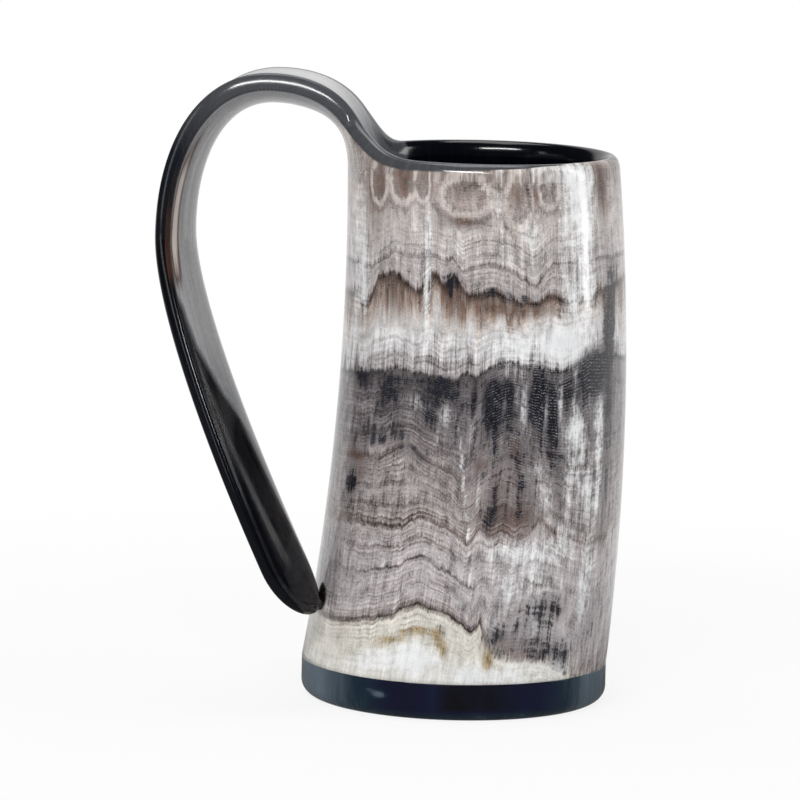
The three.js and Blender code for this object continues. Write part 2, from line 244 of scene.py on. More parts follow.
def height_share(cup, z):
    """Share of the wall's height, 0 at the foot and 1 at the lip."""
    return (z - cup.plate_height) / (cup.rim_height - cup.plate_height)


def wall_radius(cup, z):
    """Outside radius of the wall: straight from the foot to the lip."""
    return mix(cup.foot_radius, cup.rim_radius, height_share(cup, z))


def wall_thickness(cup, z):
    """Thickness of the wall: straight from the foot to the lip."""
    return mix(cup.foot_wall, cup.rim_wall, height_share(cup, z))


def bore_radius(cup, z):
    """Inside radius of the wall."""
    return wall_radius(cup, z) - wall_thickness(cup, z)


def round_axis(cup, radius, angle, z):
    """Points at an angle round the horn's axis, counted from the handle towards +Y.

    The axis leans in a straight line and bows in a parabola on top of that.
    """
    share = height_share(cup, z)
    axis = cup.rim_shift * share + 4 * cup.body_bow * share * (1 - share)
    return np.stack(np.broadcast_arrays(axis - radius * np.cos(angle), radius * np.sin(angle), z), -1)


def root_of(cup):
    """Height of the root, where the lip begins to round over, and the wall's middle radius there."""
    height = cup.rim_height - cup.lip_depth
    return height, wall_radius(cup, height) - wall_thickness(cup, height) / 2


def strip_controls(cup, strip):
    """Control points of the middle line: three cubic curves from root to crest, side and tip."""
    height, radius = root_of(cup)
    root = round_axis(cup, radius, 0, height)
    lower = height - MM
    below = round_axis(cup, wall_radius(cup, lower) - wall_thickness(cup, lower) / 2, 0, lower)
    rise = unit(root - below)
    wall_x = round_axis(cup, cup.rim_radius, 0, cup.rim_height)[0]
    crest = np.array([wall_x - strip.crest_reach, 0, cup.rim_height + strip.crest_rise])
    side = np.array([wall_x - strip.side_reach, 0, cup.rim_height - strip.side_drop])
    landing = -math.asin(strip.tip_sway / wall_radius(cup, strip.tip_height))
    tip = round_axis(cup, wall_radius(cup, strip.tip_height), landing, strip.tip_height)
    tip[0] -= strip.tip_stand
    inwards = np.array([math.cos(strip.tip_slope), 0, -math.sin(strip.tip_slope)])
    x, z = np.array([1.0, 0, 0]), np.array([0, 0, 1.0])
    return np.array([
        [root, root + rise * strip.root_pull, crest + x * strip.crest_pull_in, crest],
        [crest, crest - x * strip.crest_pull_out, side + z * strip.side_pull_up, side],
        [side, side - z * strip.side_pull_down, tip - inwards * strip.tip_pull, tip],
    ])


def bernstein(t):
    """The four weights of a cubic curve's control points, and of their slopes."""
    s = 1 - t
    weights = np.stack([s**3, 3 * s * s * t, 3 * s * t * t, t**3], -1)
    slopes = np.stack([-3 * s * s, 3 * s * s - 6 * s * t, 6 * s * t - 3 * t * t, 3 * t * t], -1)
    return weights, slopes


def strip_lengths(controls):
    """Lengths along the middle line, and the curve number plus curve share that each belongs to."""
    t = np.linspace(0, 1, CURVE_SAMPLES)
    points = np.einsum("tk,ckx->ctx", bernstein(t)[0], controls).reshape(-1, 3)
    steps = np.linalg.norm(np.diff(points, axis=0), axis=1)
    places = (np.arange(len(controls))[:, None] + t).ravel()
    return np.concatenate([[0], np.cumsum(steps)]), places


def strip_line(cup, strip, along):
    """Points and directions of the middle line at lengths along it, each from its own cubic curve."""
    controls = strip_controls(cup, strip)
    lengths, places = strip_lengths(controls)
    place = np.interp(along, lengths, places)
    curve = np.minimum(place.astype(int), len(controls) - 1)
    weights, slopes = bernstein(place - curve)
    points = np.einsum("...k,...kx->...x", weights, controls[curve])
    tangents = np.einsum("...k,...kx->...x", slopes, controls[curve])
    return points, unit(tangents), lengths[-1]


def strip_length(cup, strip):
    """Length of the middle line from the root to the tip."""
    return strip_lengths(strip_controls(cup, strip))[0][-1]


def sheet(cup, strip, angle, along, side, fullness):
    """The wall and the strip as one thick sheet.

    Up to the root a point is at an angle round the axis and a height below the root. Past the root
    the wall's arc is carried along the middle line: it starts level, soon stands square to the line
    and is turned about it by the twist. Each point has a normal, a thickness on either side and the
    half height, depth and power of its rounded edge.
    """
    angle, along, side, fullness = np.broadcast_arrays(angle, along, side, fullness)
    height, radius = root_of(cup)
    z = height + np.minimum(along, 0)
    wall_half = wall_thickness(cup, z) / 2
    wall_point = round_axis(cup, wall_radius(cup, z) - wall_half, angle, z)
    wall_normal = np.stack([-np.cos(angle), np.sin(angle), np.zeros_like(angle)], -1)

    past = np.maximum(along, 0)
    centre, tangent, length = strip_line(cup, strip, past)
    share = past / length
    split_rise = strip.fillet_height * (1 - math.cos(FILLET_SPLIT))
    upright = unit(mix(np.array([0, 0, 1.0]), tangent, ease(past, 0, split_rise)[..., None]))
    across = unit(np.array([0, 1.0, 0]) - upright * upright[..., 1:2])
    facing = np.cross(upright, across)
    twist = (strip.twist * ease(share, 0, 1))[..., None]
    across, facing = (
        across * np.cos(twist) + facing * np.sin(twist),
        facing * np.cos(twist) - across * np.sin(twist),
    )
    grown = ease(past, 0, strip.bulge_start)
    edge = mix(strip.root_edge, strip.tip_edge, share)
    half = mix(wall_thickness(cup, height), edge, grown) / 2
    bulge = fullness * (1 - side * side) * ease(past, split_rise, strip.bulge_start)
    bend_sine, bend_cosine = np.sin(angle)[..., None], np.cos(angle)[..., None]
    strip_point = (
        centre
        + facing * (half * (1 - fullness))[..., None]
        + across * radius * bend_sine
        - facing * radius * (1 - bend_cosine)
    )
    strip_normal = facing * bend_cosine + across * bend_sine
    on_wall = along <= 0
    return {
        "point": np.where(on_wall[..., None], wall_point, strip_point),
        "normal": np.where(on_wall[..., None], wall_normal, strip_normal),
        "front": np.where(
            on_wall, wall_half, half * fullness + bulge * mix(strip.root_crown, strip.tip_crown, share)
        ),
        "back": np.where(on_wall, wall_half, half * fullness + bulge * strip.back_fill),
        "half": np.where(on_wall, wall_half, half * fullness),
        "depth": np.where(on_wall, cup.lip_depth, mix(cup.lip_depth, strip.edge_depth, grown)),
        "power": np.where(on_wall, ROUND_EDGE, mix(ROUND_EDGE, SQUARE_EDGE, grown)),
    }


def fillet(cup, strip, turned, start):
    """A quarter ellipse from the level rim to the strip's side: angle round the wall, and rise."""
    half = strip.width / 2 / root_of(cup)[1]
    return mix(start, half, np.sin(turned)), strip.fillet_height * (1 - np.cos(turned))


def shell_grids(cup, strip):
    """Angles and lengths of the wall's rows and of the strip's rows.

    The wall's columns go over the strip, the far fillet, the rim and the near fillet, and each
    is divided evenly from the foot to where it ends. The strip's rows follow the rest of the
    fillets, then run straight, then round off in a quarter ellipse.
    """
    height, radius = root_of(cup)
    sides = np.linspace(-1, 1, STRIP_COLUMNS + 1)
    steps = np.arange(FILLET_STEPS) / FILLET_STEPS * FILLET_SPLIT
    near_end, rise = fillet(cup, strip, FILLET_SPLIT, strip.near_fillet)
    far_end = fillet(cup, strip, FILLET_SPLIT, strip.far_fillet)[0]
    near_angle, near_rise = fillet(cup, strip, steps, strip.near_fillet)
    far_angle, far_rise = fillet(cup, strip, steps[::-1], strip.far_fillet)
    rim_share = np.arange(1, RIM_COLUMNS) / RIM_COLUMNS
    rim = mix(strip.far_fillet, 2 * math.pi - strip.near_fillet, rim_share)
    angle = np.concatenate([sides * np.where(sides < 0, near_end, far_end), far_angle, rim, -near_angle])
    top = np.concatenate([np.full(len(sides), rise), far_rise, np.zeros(len(rim)), near_rise])
    rows = np.linspace(0, 1, WALL_ROWS + 1)[:, None]
    wall_along = mix(cup.plate_height - height, top, rows)
    wall_angle = np.broadcast_to(angle, wall_along.shape)

    neck = mix(FILLET_SPLIT, math.pi / 2, np.arange(1, NECK_ROWS + 1) / NECK_ROWS)
    neck_near, neck_along = fillet(cup, strip, neck, strip.near_fillet)
    neck_far = fillet(cup, strip, neck, strip.far_fillet)[0]
    half = strip.width / 2 / radius
    tip_start = strip_length(cup, strip) - strip.tip_round
    straight = mix(strip.fillet_height, tip_start, np.arange(1, STRIP_ROWS + 1) / STRIP_ROWS)
    end = np.arange(1, TIP_ROWS + 1) / TIP_ROWS * TIP_TURN
    along = np.concatenate([neck_along, straight, tip_start + strip.tip_round * np.sin(end)])
    level = np.full(STRIP_ROWS, half)
    near = np.concatenate([neck_near, level, half * np.cos(end)])
    far = np.concatenate([neck_far, level, half * np.cos(end)])
    full = np.concatenate([np.ones(NECK_ROWS + STRIP_ROWS), mix(strip.tip_thinning, 1, np.cos(end))])
    strip_angle = sides * np.where(sides < 0, near[:, None], far[:, None])
    return (wall_angle, wall_along), (strip_angle, along[:, None], sides, full[:, None])


def band_faces(lower, upper, flip):
    """Quads between two rows of point numbers that lie side by side."""
    quads = np.stack([lower[..., :-1], lower[..., 1:], upper[..., 1:], upper[..., :-1]], -1)
    quads = quads.reshape(-1, 4)
    return quads[:, ::-1] if flip else quads


def closed(numbers):
    """Rows of point numbers with the first column repeated at the end."""
    return np.concatenate([numbers, numbers[..., :1]], -1)


def point_numbers(points, first=0):
    """Numbers of a grid of points, row by row."""
    shape = points.shape[:-1]
    return first + np.arange(math.prod(shape)).reshape(shape)


def shell_surface(cup, strip):
    """Points, quads and, for each point, its angle, its length along the sheet, its depth in the
    wall (0 out, 1 in), whether it is on the free edge, and its place across the strip (-1 to 1).

    The front is the sheet's point plus its normal times the front thickness, the back the same the
    other way. The free edge is half a superellipse about the sheet's edge.
    """
    (wall_angle, wall_along), (strip_angle, strip_along, sides, full) = shell_grids(cup, strip)
    wall = sheet(cup, strip, wall_angle, wall_along, 1, 1)
    bent = sheet(cup, strip, strip_angle, strip_along, sides, full)
    strip_along = np.broadcast_to(strip_along, strip_angle.shape)

    def join(key):
        """A value of the sheet on the wall's points and then on the strip's."""
        return np.concatenate([values[key].reshape(-1, *values[key].shape[2:]) for values in (wall, bent)])

    point, normal = join("point"), join("normal")
    count = len(point)
    front = point + normal * join("front")[:, None]
    back = point - normal * join("back")[:, None]

    wall_at = point_numbers(wall["point"])
    strip_at = point_numbers(bent["point"], wall_angle.size)
    rim = wall_at[-1]
    strip_rows = np.concatenate([rim[None, : STRIP_COLUMNS + 1], strip_at])
    ring = closed(wall_at)
    outer = np.concatenate([
        band_faces(ring[:-1], ring[1:], True), band_faces(strip_rows[:-1], strip_rows[1:], True),
    ])
    inner = outer[:, ::-1] + count
    foot = band_faces(ring[0], ring[0] + count, False)

    loop = np.concatenate([
        rim[STRIP_COLUMNS:], rim[:1], strip_at[:, 0], strip_at[-1, 1:-1], strip_at[::-1, -1],
    ])
    before, after = point[np.roll(loop, 1)], point[np.roll(loop, -1)]
    outwards = unit(np.cross(after - before, normal[loop]))
    turns = math.pi * (0.5 - np.arange(1, EDGE_STEPS) / EDGE_STEPS)
    power = join("power")[loop][:, None]
    lift = join("half")[loop][:, None] * np.sign(np.sin(turns)) * np.abs(np.sin(turns)) ** power
    reach = join("depth")[loop][:, None] * np.cos(turns) ** power
    edge = (
        point[loop][:, None]
        + normal[loop][:, None] * lift[..., None]
        + outwards[:, None] * reach[..., None]
    )
    edge_at = point_numbers(edge, 2 * count)
    section = np.concatenate([loop[:, None], edge_at, loop[:, None] + count], 1)
    section = np.concatenate([section, section[:1]])
    rounding = band_faces(section[:-1], section[1:], False)

    def all_over(on_wall, on_strip):
        """A value of the sheet's points on the front, the back and the free edge."""
        values = np.concatenate([on_wall.ravel(), on_strip.ravel()])
        return np.concatenate([values, values, np.repeat(values[loop], len(turns))])

    half = strip.width / 2 / root_of(cup)[1]
    edge_depth = np.tile((1 - np.sin(turns)) / 2, len(loop))
    marks = {
        "angle": all_over(wall_angle, strip_angle),
        "along": all_over(wall_along, strip_along),
        "depth": np.concatenate([np.zeros(count), np.ones(count), edge_depth]),
        "edge": np.concatenate([np.zeros(2 * count), np.ones(edge_at.size)]),
        "across": all_over(
            np.clip(wall_angle / half, -1, 1), np.broadcast_to(sides, strip_angle.shape)
        ),
    }
    points = np.concatenate([front, back, edge.reshape(-1, 3)])
    return points, np.concatenate([outer, inner, foot, rounding]), marks


def tip_contact(cup, strip):
    """Where the strip comes closest to the wall on its way down: the gap, the angle and the height."""
    points, _, marks = shell_surface(cup, strip)
    points = points[(marks["along"] > 0) & (points[:, 2] < cup.rim_height - strip.side_drop)]
    middle = round_axis(cup, 0, 0, points[:, 2])
    away = np.hypot(*(points - middle)[:, :2].T)
    gap = away - wall_radius(cup, points[:, 2])
    nearest = np.argmin(gap)
    return gap[nearest], math.asin(points[nearest, 1] / away[nearest]), points[nearest, 2]


def fit_tip(cup, strip):
    """Moves the strip's end in or out, closer each time, until the tip clears the wall as set."""
    strip.tip_stand = strip.tip_clearance
    for _ in range(FIT_ROUNDS):
        strip.tip_stand += strip.tip_clearance - tip_contact(cup, strip)[0]


# Growth lines of the horn: a name height, then turns from the front in degrees with heights in
# millimetres. Between two lines the growth height runs evenly.
GROWTH_LINES = (
    (9, ((0, 9),)),
    (26, (
        (-170, 24), (-140, 29), (-115, 22), (-90, 26), (-60, 24), (-40, 26), (-31, 28), (-19, 32),
        (-7, 30), (3, 25), (6, 28), (9, 21), (13, 18), (20, 16.5), (28, 17), (36, 15), (44, 12),
        (50, 9.6), (78, 9.6), (90, 18), (105, 29), (120, 22), (150, 27),
    )),
    (42, (
        (-160, 45), (-120, 39), (-80, 41), (-55, 38), (-41, 39), (-32, 41), (-20, 45), (-9, 41),
        (2, 36), (4, 40), (9, 37), (21, 39), (37, 36), (55, 32), (75, 40), (100, 45), (125, 38),
    )),
    (53, (
        (-150, 55), (-110, 50), (-59, 52), (-48, 53), (-34, 52), (-22, 56), (-11, 54), (-2, 49),
        (2, 54), (6, 51), (10, 53), (15, 51), (21, 51), (25, 57), (32, 52), (49, 47), (90, 54),
        (130, 50),
    )),
    (72, (
        (-150, 74), (-110, 69), (-58, 70), (-42, 72), (-29, 76), (-22, 72), (-11, 69), (-6, 65),
        (0, 70), (11, 74), (26, 70), (46, 67), (90, 73), (140, 69),
    )),
    (95, (
        (-160, 96), (-110, 92), (-56, 93), (-43, 96), (-33, 96), (-20, 95), (-13, 94), (-7, 96),
        (-4, 95), (2, 98), (9, 100), (21, 98), (32, 97), (46, 101), (90, 97), (130, 93),
    )),
    (119, (
        (-150, 120), (-100, 116), (-54, 114), (-50, 121), (-41, 123), (-34, 120), (-28, 118),
        (-23, 124), (-17, 121), (-13, 124), (-7, 117), (3, 119), (13, 116), (22, 116), (26, 118),
        (36, 116), (80, 121), (120, 117),
    )),
    (126, (
        (-150, 128), (-100, 124), (-54, 123), (-41, 128), (-34, 128), (-23, 128), (-14, 128),
        (-10, 124), (2, 126), (9, 125), (20, 120), (27, 126), (34, 127), (90, 127), (130, 124),
    )),
    (153.5, ((0, 153.5),)),
)

# Patches on the wall: turn from the front in degrees, height in millimetres, half width in degrees,
# half height in millimetres, strength
SOOT_PATCHES = (
    (-30, 90, 40, 4, 0.35), (-30, 93.6, 32, 1.6, 0.6), (17, 88, 26, 7, 0.66), (24, 87, 5, 8, 0.6),
    (-3, 89, 5, 4, 0.5), (3.2, 84.5, 3.6, 5, 1), (5, 91, 6, 4, 0.7), (22, 91, 3.5, 6, 1),
    (28, 82, 3, 6, 0.95), (10, 86, 3, 7, 0.6), (35, 91, 6, 6, 0.6), (32, 76, 3, 6, 0.4),
    (18, 78, 3, 6, 0.5), (60, 64, 3.5, 22, 0.4), (59, 105, 5, 13, 1), (49, 96, 8, 6, 1),
    (63, 120, 4, 10, 0.5), (60, 86, 4, 10, 0.5), (-58, 63, 4, 5, 0.8), (-55, 92, 9, 3, 0.5),
    (-37, 84, 7, 5, 0.35), (-22, 90, 8, 3, 0.4), (12, 69, 9, 8, 0.25), (4, 58, 3, 6, 0.4),
    (18, 63, 3, 8, 0.4), (33, 62, 3, 7, 0.35), (-12, 80, 5, 5, 0.3), (10, 76, 14, 5, 0.3),
    (30, 70, 8, 6, 0.3), (10, 60, 6, 6, 0.3), (-14, 121, 4, 4, 0.6), (-42, 121, 9, 2.5, 0.3),
    (2, 118.5, 9, 2, 0.4), (15, 117, 9, 1.8, 0.3), (13, 23.5, 6, 3, 0.6), (24, 22, 9, 3, 0.45),
    (34, 19.5, 8, 3.5, 0.5), (43, 17, 6, 4, 0.4), (20, 27, 8, 2.4, 0.35), (-45, 86, 5, 4, 0.55),
    (-22, 83, 6, 4, 0.5), (-34, 79, 5, 3, 0.5), (-52, 79, 5, 3, 0.5), (-16, 91, 4, 3, 0.5),
    (-40, 90, 5, 2.5, 0.5), (28, 32, 13, 4, 0.32), (33, 30, 6, 6, 0.3), (54, 24, 8, 8, 0.3),
    (-8, 25, 4, 3, 0.4), (-26, 74, 10, 3, 0.3), (-47, 77, 8, 3, 0.35),
)
# Some cream patches are painted light: the tall ones at -66 and -61 degrees paint the reflection along the
# wall's left side, and the thin upright ones at -25 degrees paint a highlight
CREAM_AND_SHEEN_PATCHES = (
    (33, 105, 14, 7, 1), (11, 104, 14, 5, 0.7), (-22, 105, 18, 4, 0.4), (-45, 106, 10, 4, 0.3),
    (44, 144, 8, 10, 1), (44, 131, 5, 12, 0.85), (46, 119, 5, 10, 0.75), (37, 117, 4, 8, 0.7),
    (33, 130, 4, 9, 0.45), (-60, 117, 5, 8, 0.55), (-25, 130, 1.5, 18, 0.8), (-25, 112, 1.5, 10, 0.7),
    (30, 149.5, 15, 3, 0.75), (36, 139, 7, 8, 0.45), (18, 137, 4, 5, 0.4), (5, 144, 3, 8, 0.5),
    (-11, 131, 6, 5, 0.4), (9, 131, 3, 7, 0.4), (19, 133, 5, 7, 0.5), (44, 74, 3, 6, 0.5),
    (53.5, 83, 3.5, 8, 0.8), (41, 80, 4, 5, 0.7), (54, 66, 2.5, 14, 0.65), (48, 60, 5, 8, 0.6),
    (52, 42, 4, 10, 0.6), (50, 30, 4, 8, 0.5), (38, 52, 5, 6, 0.5), (24, 39, 16, 8, 0.45),
    (44, 68, 5, 5, 0.5), (16, 34, 3, 6, 0.5), (-18, 17, 14, 6, 1), (6, 13, 11, 4, 0.9),
    (-38, 15, 10, 4, 0.7), (22, 13, 10, 4, 0.7), (40, 14, 10, 5, 0.6), (-61, 128, 4, 26, 0.4),
    (28, 26, 3, 6, 0.5), (-4, 82, 2, 9, 0.4), (15.8, 87, 1.6, 8, 0.75), (35, 80, 2.5, 8, 0.4),
    (12.5, 90, 1, 5, 0.6), (31.5, 88, 1.4, 7, 0.7), (38.5, 86, 2, 6, 0.6), (25.4, 86, 1, 6, 0.6),
    (28, 63, 4, 8, 0.4), (37, 66, 3, 8, 0.5), (23.5, 66, 1.2, 9, 0.5), (0.5, 63, 1.2, 8, 0.4),
    (-28, 88, 5, 3, 0.45), (-15, 85, 3, 5, 0.45), (-40, 82, 4, 3, 0.4), (-17, 78, 3, 5, 0.3),
    (8, 77, 1.4, 5, 0.4), (20, 70, 8, 2.5, 0.4), (-66, 125, 6, 25, 0.55), (12, 48, 10, 2.6, 0.5),
    (28, 47, 14, 4, 0.5), (40, 82, 2.5, 6, 0.4),
)
BROWN_PATCHES = (
    (-41, 117, 8, 5, 0.75), (-14, 118, 6, 5, 0.9), (-12, 112, 5, 5, 0.5), (4, 114.5, 9, 2.6, 0.9),
    (20, 113.5, 10, 2, 0.7), (13, 76, 3, 4, 0.9), (14, 57, 9, 3.2, 1), (8, 62, 9, 9, 0.6),
    (20, 60, 5, 6, 0.6), (15, 69, 4, 5, 0.5), (0.5, 71.5, 4, 2, 0.6), (9, 79, 3, 4, 0.5),
    (-57, 71, 7, 2.5, 0.8), (-53, 66, 5, 3, 0.6), (28, 74, 3, 7, 0.6), (-49, 147, 4, 6, 0.9),
    (-35, 147.5, 5, 5, 0.95), (-25, 147.5, 2.5, 4, 0.7), (-9, 138, 10, 2.4, 0.95),
    (-51, 137, 3.5, 9, 0.7), (57, 145, 4, 9, 0.9), (21, 147, 2, 4, 0.7), (31, 141, 5, 3.5, 0.6),
    (13, 145, 3, 4, 0.5), (-9, 146, 7, 3, 0.4), (60, 128, 5, 9, 0.4), (-52, 21, 10, 4, 0.4),
    (18, 20, 6, 2.5, 0.6), (28, 18, 6, 2.5, 0.6), (9, 22, 3, 3, 0.5), (-36, 136, 4, 8, 0.4),
    (-57, 142, 6, 9, 0.55), (-44, 139, 3, 8, 0.5), (18, 31, 6, 3, 0.5), (36, 30, 7, 4, 0.45),
    (-38, 113, 9, 5, 0.45), (-20, 138, 3, 8, 0.4), (29, 131, 3, 8, 0.35),
)
# Gaps between the streaks of soot, placed as the patches are
SOOT_GAPS = (
    (15.8, 87, 1.7, 9, 1), (12.5, 90, 1, 5, 0.7), (31.5, 88, 1.5, 8, 1), (38.5, 86, 2, 6, 0.9),
    (25.4, 86, 1.1, 7, 0.9), (8, 88, 1, 7, 0.7), (-1.5, 87, 1.6, 7, 0.9), (-7, 90, 2, 5, 0.6),
    (-28, 88, 4, 3, 0.6), (-15, 85, 3, 5, 0.6), (-48, 88, 3, 4, 0.5), (19, 80, 2, 5, 0.6),
    (33, 79, 2, 5, 0.6),
)
AMBER_PATCHES = (
    (-27, 22, 7, 1.2, 0.8), (-17, 25.4, 5, 1.1, 0.8), (-9.5, 23.6, 2, 2.2, 0.8),
    (-6, 20, 1.8, 3.2, 0.9), (-22, 24, 4, 1, 0.7), (-13, 25, 3.2, 1.1, 0.7), (-8, 21.8, 1.6, 2, 0.7),
    (10, 20, 1.6, 2.6, 0.6), (11, 17, 2.4, 3, 0.95), (-32, 20, 6, 1.4, 0.5), (1, 112, 3, 2, 0.5),
    (-45, 17, 6, 3, 0.4), (28, 151, 10, 1.5, 0.3), (44, 146, 5, 6, 0.25),
)
RIPPLE_PATCHES = (
    (28, 88, 28, 34, 1), (46, 112, 14, 16, 1), (-30, 84, 30, 10, 0.4), (150, 90, 60, 60, 0.8),
)
# A pale seam that the growth lines dip to: heights in millimetres and turns from the front in degrees
SEAM = ((24, 5), (28.8, 3.8), (37, 0.5), (49.5, -1.8), (59, -4.2), (67, -6.2), (78, -8.5), (89, -12.2))
SEAM_HALF = 0.55
# Cells under the rim, placed as the patches are
CELLS = (
    (-8, 144.7, 10.5, 5), (13.5, 143.5, 5.5, 7), (27, 147, 4.6, 5), (-36.5, 147.5, 6.5, 5.5),
    (-27, 147.5, 3.5, 4.5), (-50, 147, 5, 6),
)
# Where the growth lines are clear, placed as the patches are
LINE_PATCHES = (
    (-28, 52, 30, 24, 1), (-10, 40, 18, 12, 0.8), (-30, 98, 34, 9, 0.7), (0, 128, 50, 9, 0.7),
    (20, 40, 14, 5, 0.4), (14, 54, 15, 4, 0.9), (-38, 82, 26, 10, 0.9), (-30, 27, 36, 6, 1),
    (-32, 71, 30, 5, 0.9), (170, 70, 90, 60, 0.8),
)
# Start of the grey lip: turns from the front in degrees and depths in the wall
LIP_LINE = (
    (-120, 0.03), (-50, 0.03), (-20, 0.06), (-8, 0.1), (15, 0.19), (35, 0.35), (45, 0.6), (62, 0.6),
    (85, 0.1),
)
# Darkness along the strip, from its root at 0 to its tip at 1: on the edges, towards the loop, outside
# Partly the black horn's own colour, partly painted light: the low darkness towards the loop is painted
# reflection, and the paler outside near the crest and the slate of the edges are painted sheen
EDGE_DARKNESS_AND_SHEEN = ((0, 0.6), (0.1, 0.58), (0.17, 0.6), (0.25, 0.66), (0.33, 0.85), (0.42, 0.97), (1, 1))
LOOP_DARKNESS_AND_REFLECTION = (
    (0, 0.4), (0.1, 0.25), (0.2, 0.24), (0.3, 0.22), (0.45, 0.17), (0.6, 0.18), (0.8, 0.3), (1, 0.6),
)
OUTER_DARKNESS_AND_SHEEN = ((0, 0.42), (0.06, 0.2), (0.12, 0.08), (0.2, 0.12), (0.3, 0.42), (0.45, 0.95), (1, 1))
# Where the black of the near side ends towards the loop and the painted reflection on the loop's face begins:
# share of the length, place across the strip
LOOP_SHADOW = (
    (0.52, -1.2), (0.56, -1), (0.62, -0.9), (0.69, -0.6), (0.75, -0.1), (0.79, 0.15), (0.85, 0.45),
    (0.91, 0.8), (0.96, 1.2),
)
# Smokiness round the base plate, rising as painted reflection towards the sides seen from the front: turns
# from the front in degrees and strength
PLATE_SMOKE_AND_SHEEN = (
    (-90, 1.05), (-63, 1), (-50, 0.8), (-36, 0.6), (-28, 0.46), (-18, 0.36), (-8, 0.48), (-3, 0.18),
    (15, 0.12), (25, 0.3), (38, 0.5), (60, 0.82), (85, 0.7), (130, 0.35), (180, 0.3), (230, 0.4),
)
# Painted highlights on the base plate: pale spots, placed as the patches are
PLATE_GLINTS = ((-29, 6.4, 5, 1.7, 0.92), (-34, 7.6, 4, 1.2, 0.6))
STREAK_PRESENCE = ((0.24, 0), (0.3, 0.6), (0.36, 0.9), (0.46, 0.95), (0.51, 0.75), (0.56, 0))
FRONT_ANGLE = -95  # of the camera's side of the wall, in the sheet's angles
EDGE_ARC = 8  # length of the rounded edge's section in millimetres
# Patches scattered over the side away from the camera: their turns and seed and, for soot, cream and
# brown, how many, then the ranges of height, half width, half height and strength
BACK_TURNS = (84, 276)
BACK_SEED = 11
BACK_PATCHES = (
    (38, (70, 98), (2, 9), (3, 9), (0.3, 0.85)),
    (46, (30, 150), (1, 5), (4, 16), (0.35, 0.85)),
    (40, (46, 148), (3, 9), (2, 7), (0.35, 0.9)),
)

GAP_DEPTH = 0.85  # how much of the soot a gap takes away
SEAM_STRENGTH = 0.6
SEAM_FOOT = (26, 36)  # heights in millimetres over which the seam appears and ends
SEAM_HEAD = (92, 76)
FAR_FROM_CELLS = 3.0
# Depths in the wall where the loop's face turns into the outer face, and the lip into the bore
FACE_TURN = (0.3, 0.7)
BORE_START = (0.45, 0.65)
BLACK_START = 26  # millimetres along the strip over which the horn turns black
BLACK_MARGIN = 0.05
SHADOW_EDGE = (-0.06, 0.12)  # of the near side's black, across the strip
FAR_SHADE = 0.18  # extra darkness towards the far side of the strip
FAR_SIDE = (-0.6, 0.8)
STREAK_PLACE = (-0.89, 0.12)  # middle across the strip, and half width
CREST_PLACE = (0.22, 0.06)  # middle as a share of the strip's length, and half length
LOWER_EDGE_REFLECTION = 0.6  # painted reflection of the floor along the base plate's lower edge
LOWER_EDGE_REFLECTION_HEIGHTS = (4.6, 1.6)  # heights in millimetres over which that painted reflection appears


def apart(turns, middle):
    """Difference of two turns in degrees, the short way round."""
    return (turns - middle + 180) % 360 - 180


def patch_strength(turns, heights, patches):
    """Several soft bells laid over each other, each falling off with the square of the distance."""
    bare = np.ones_like(turns)
    for middle, height, half_turn, half_height, strength in patches:
        away = (apart(turns, middle) / half_turn) ** 2 + ((heights - height) / half_height) ** 2
        bare *= 1 - strength * np.exp(-away)
    return 1 - bare


def back_patches(kind):
    """Patches for the side away from the camera, scattered by a fixed seed."""
    dice = np.random.default_rng(BACK_SEED + kind)
    count, *ranges = BACK_PATCHES[kind]
    return tuple(zip(*(dice.uniform(*ends, count) for ends in (BACK_TURNS, *ranges))))


def bell(values, middle, half):
    """A bell that falls off with the square of the distance from its middle."""
    return np.exp(-(((values - middle) / half) ** 2))


def along_table(values, table, **settings):
    """Values read off a table of pairs, straight between them."""
    return np.interp(values, *zip(*table), **settings)


def growth_height(turns, heights):
    """Height counted in the horn's growth lines: between two lines it runs evenly."""
    growth = np.maximum(heights, GROWTH_LINES[0][0])
    for (low, low_line), (high, high_line) in zip(GROWTH_LINES, GROWTH_LINES[1:]):
        floor = along_table(turns, low_line, period=360)
        ceiling = along_table(turns, high_line, period=360)
        inside = (heights >= floor) & (heights < ceiling)
        growth = np.where(inside, mix(low, high, (heights - floor) / (ceiling - floor)), growth)
    return growth


def wall_tones(turns, tall):
    """Strength of soot, cream, brown and amber: soot has gaps, and cream has the seam on top."""
    fronts = (SOOT_PATCHES, CREAM_AND_SHEEN_PATCHES, BROWN_PATCHES)
    placed = [front + back_patches(kind) for kind, front in enumerate(fronts)]
    tone = np.stack([patch_strength(turns, tall, each) for each in (*placed, AMBER_PATCHES)], -1)
    tone[:, 0] *= 1 - GAP_DEPTH * patch_strength(turns, tall, SOOT_GAPS)
    seam = bell(apart(turns, along_table(tall, SEAM)), 0, SEAM_HALF)
    seam *= ease(tall, *SEAM_FOOT) * ease(tall, *SEAM_HEAD) * SEAM_STRENGTH
    tone[:, 1] = np.maximum(tone[:, 1], seam)
    return tone


def nearest_cell(turns, tall):
    """Distance from the middle of the nearest cell, 1 on its outline."""
    cell = np.full_like(turns, FAR_FROM_CELLS)
    for middle, level, half_turn, half_height in CELLS:
        cell = np.minimum(cell, np.hypot(apart(turns, middle) / half_turn, (tall - level) / half_height))
    return cell


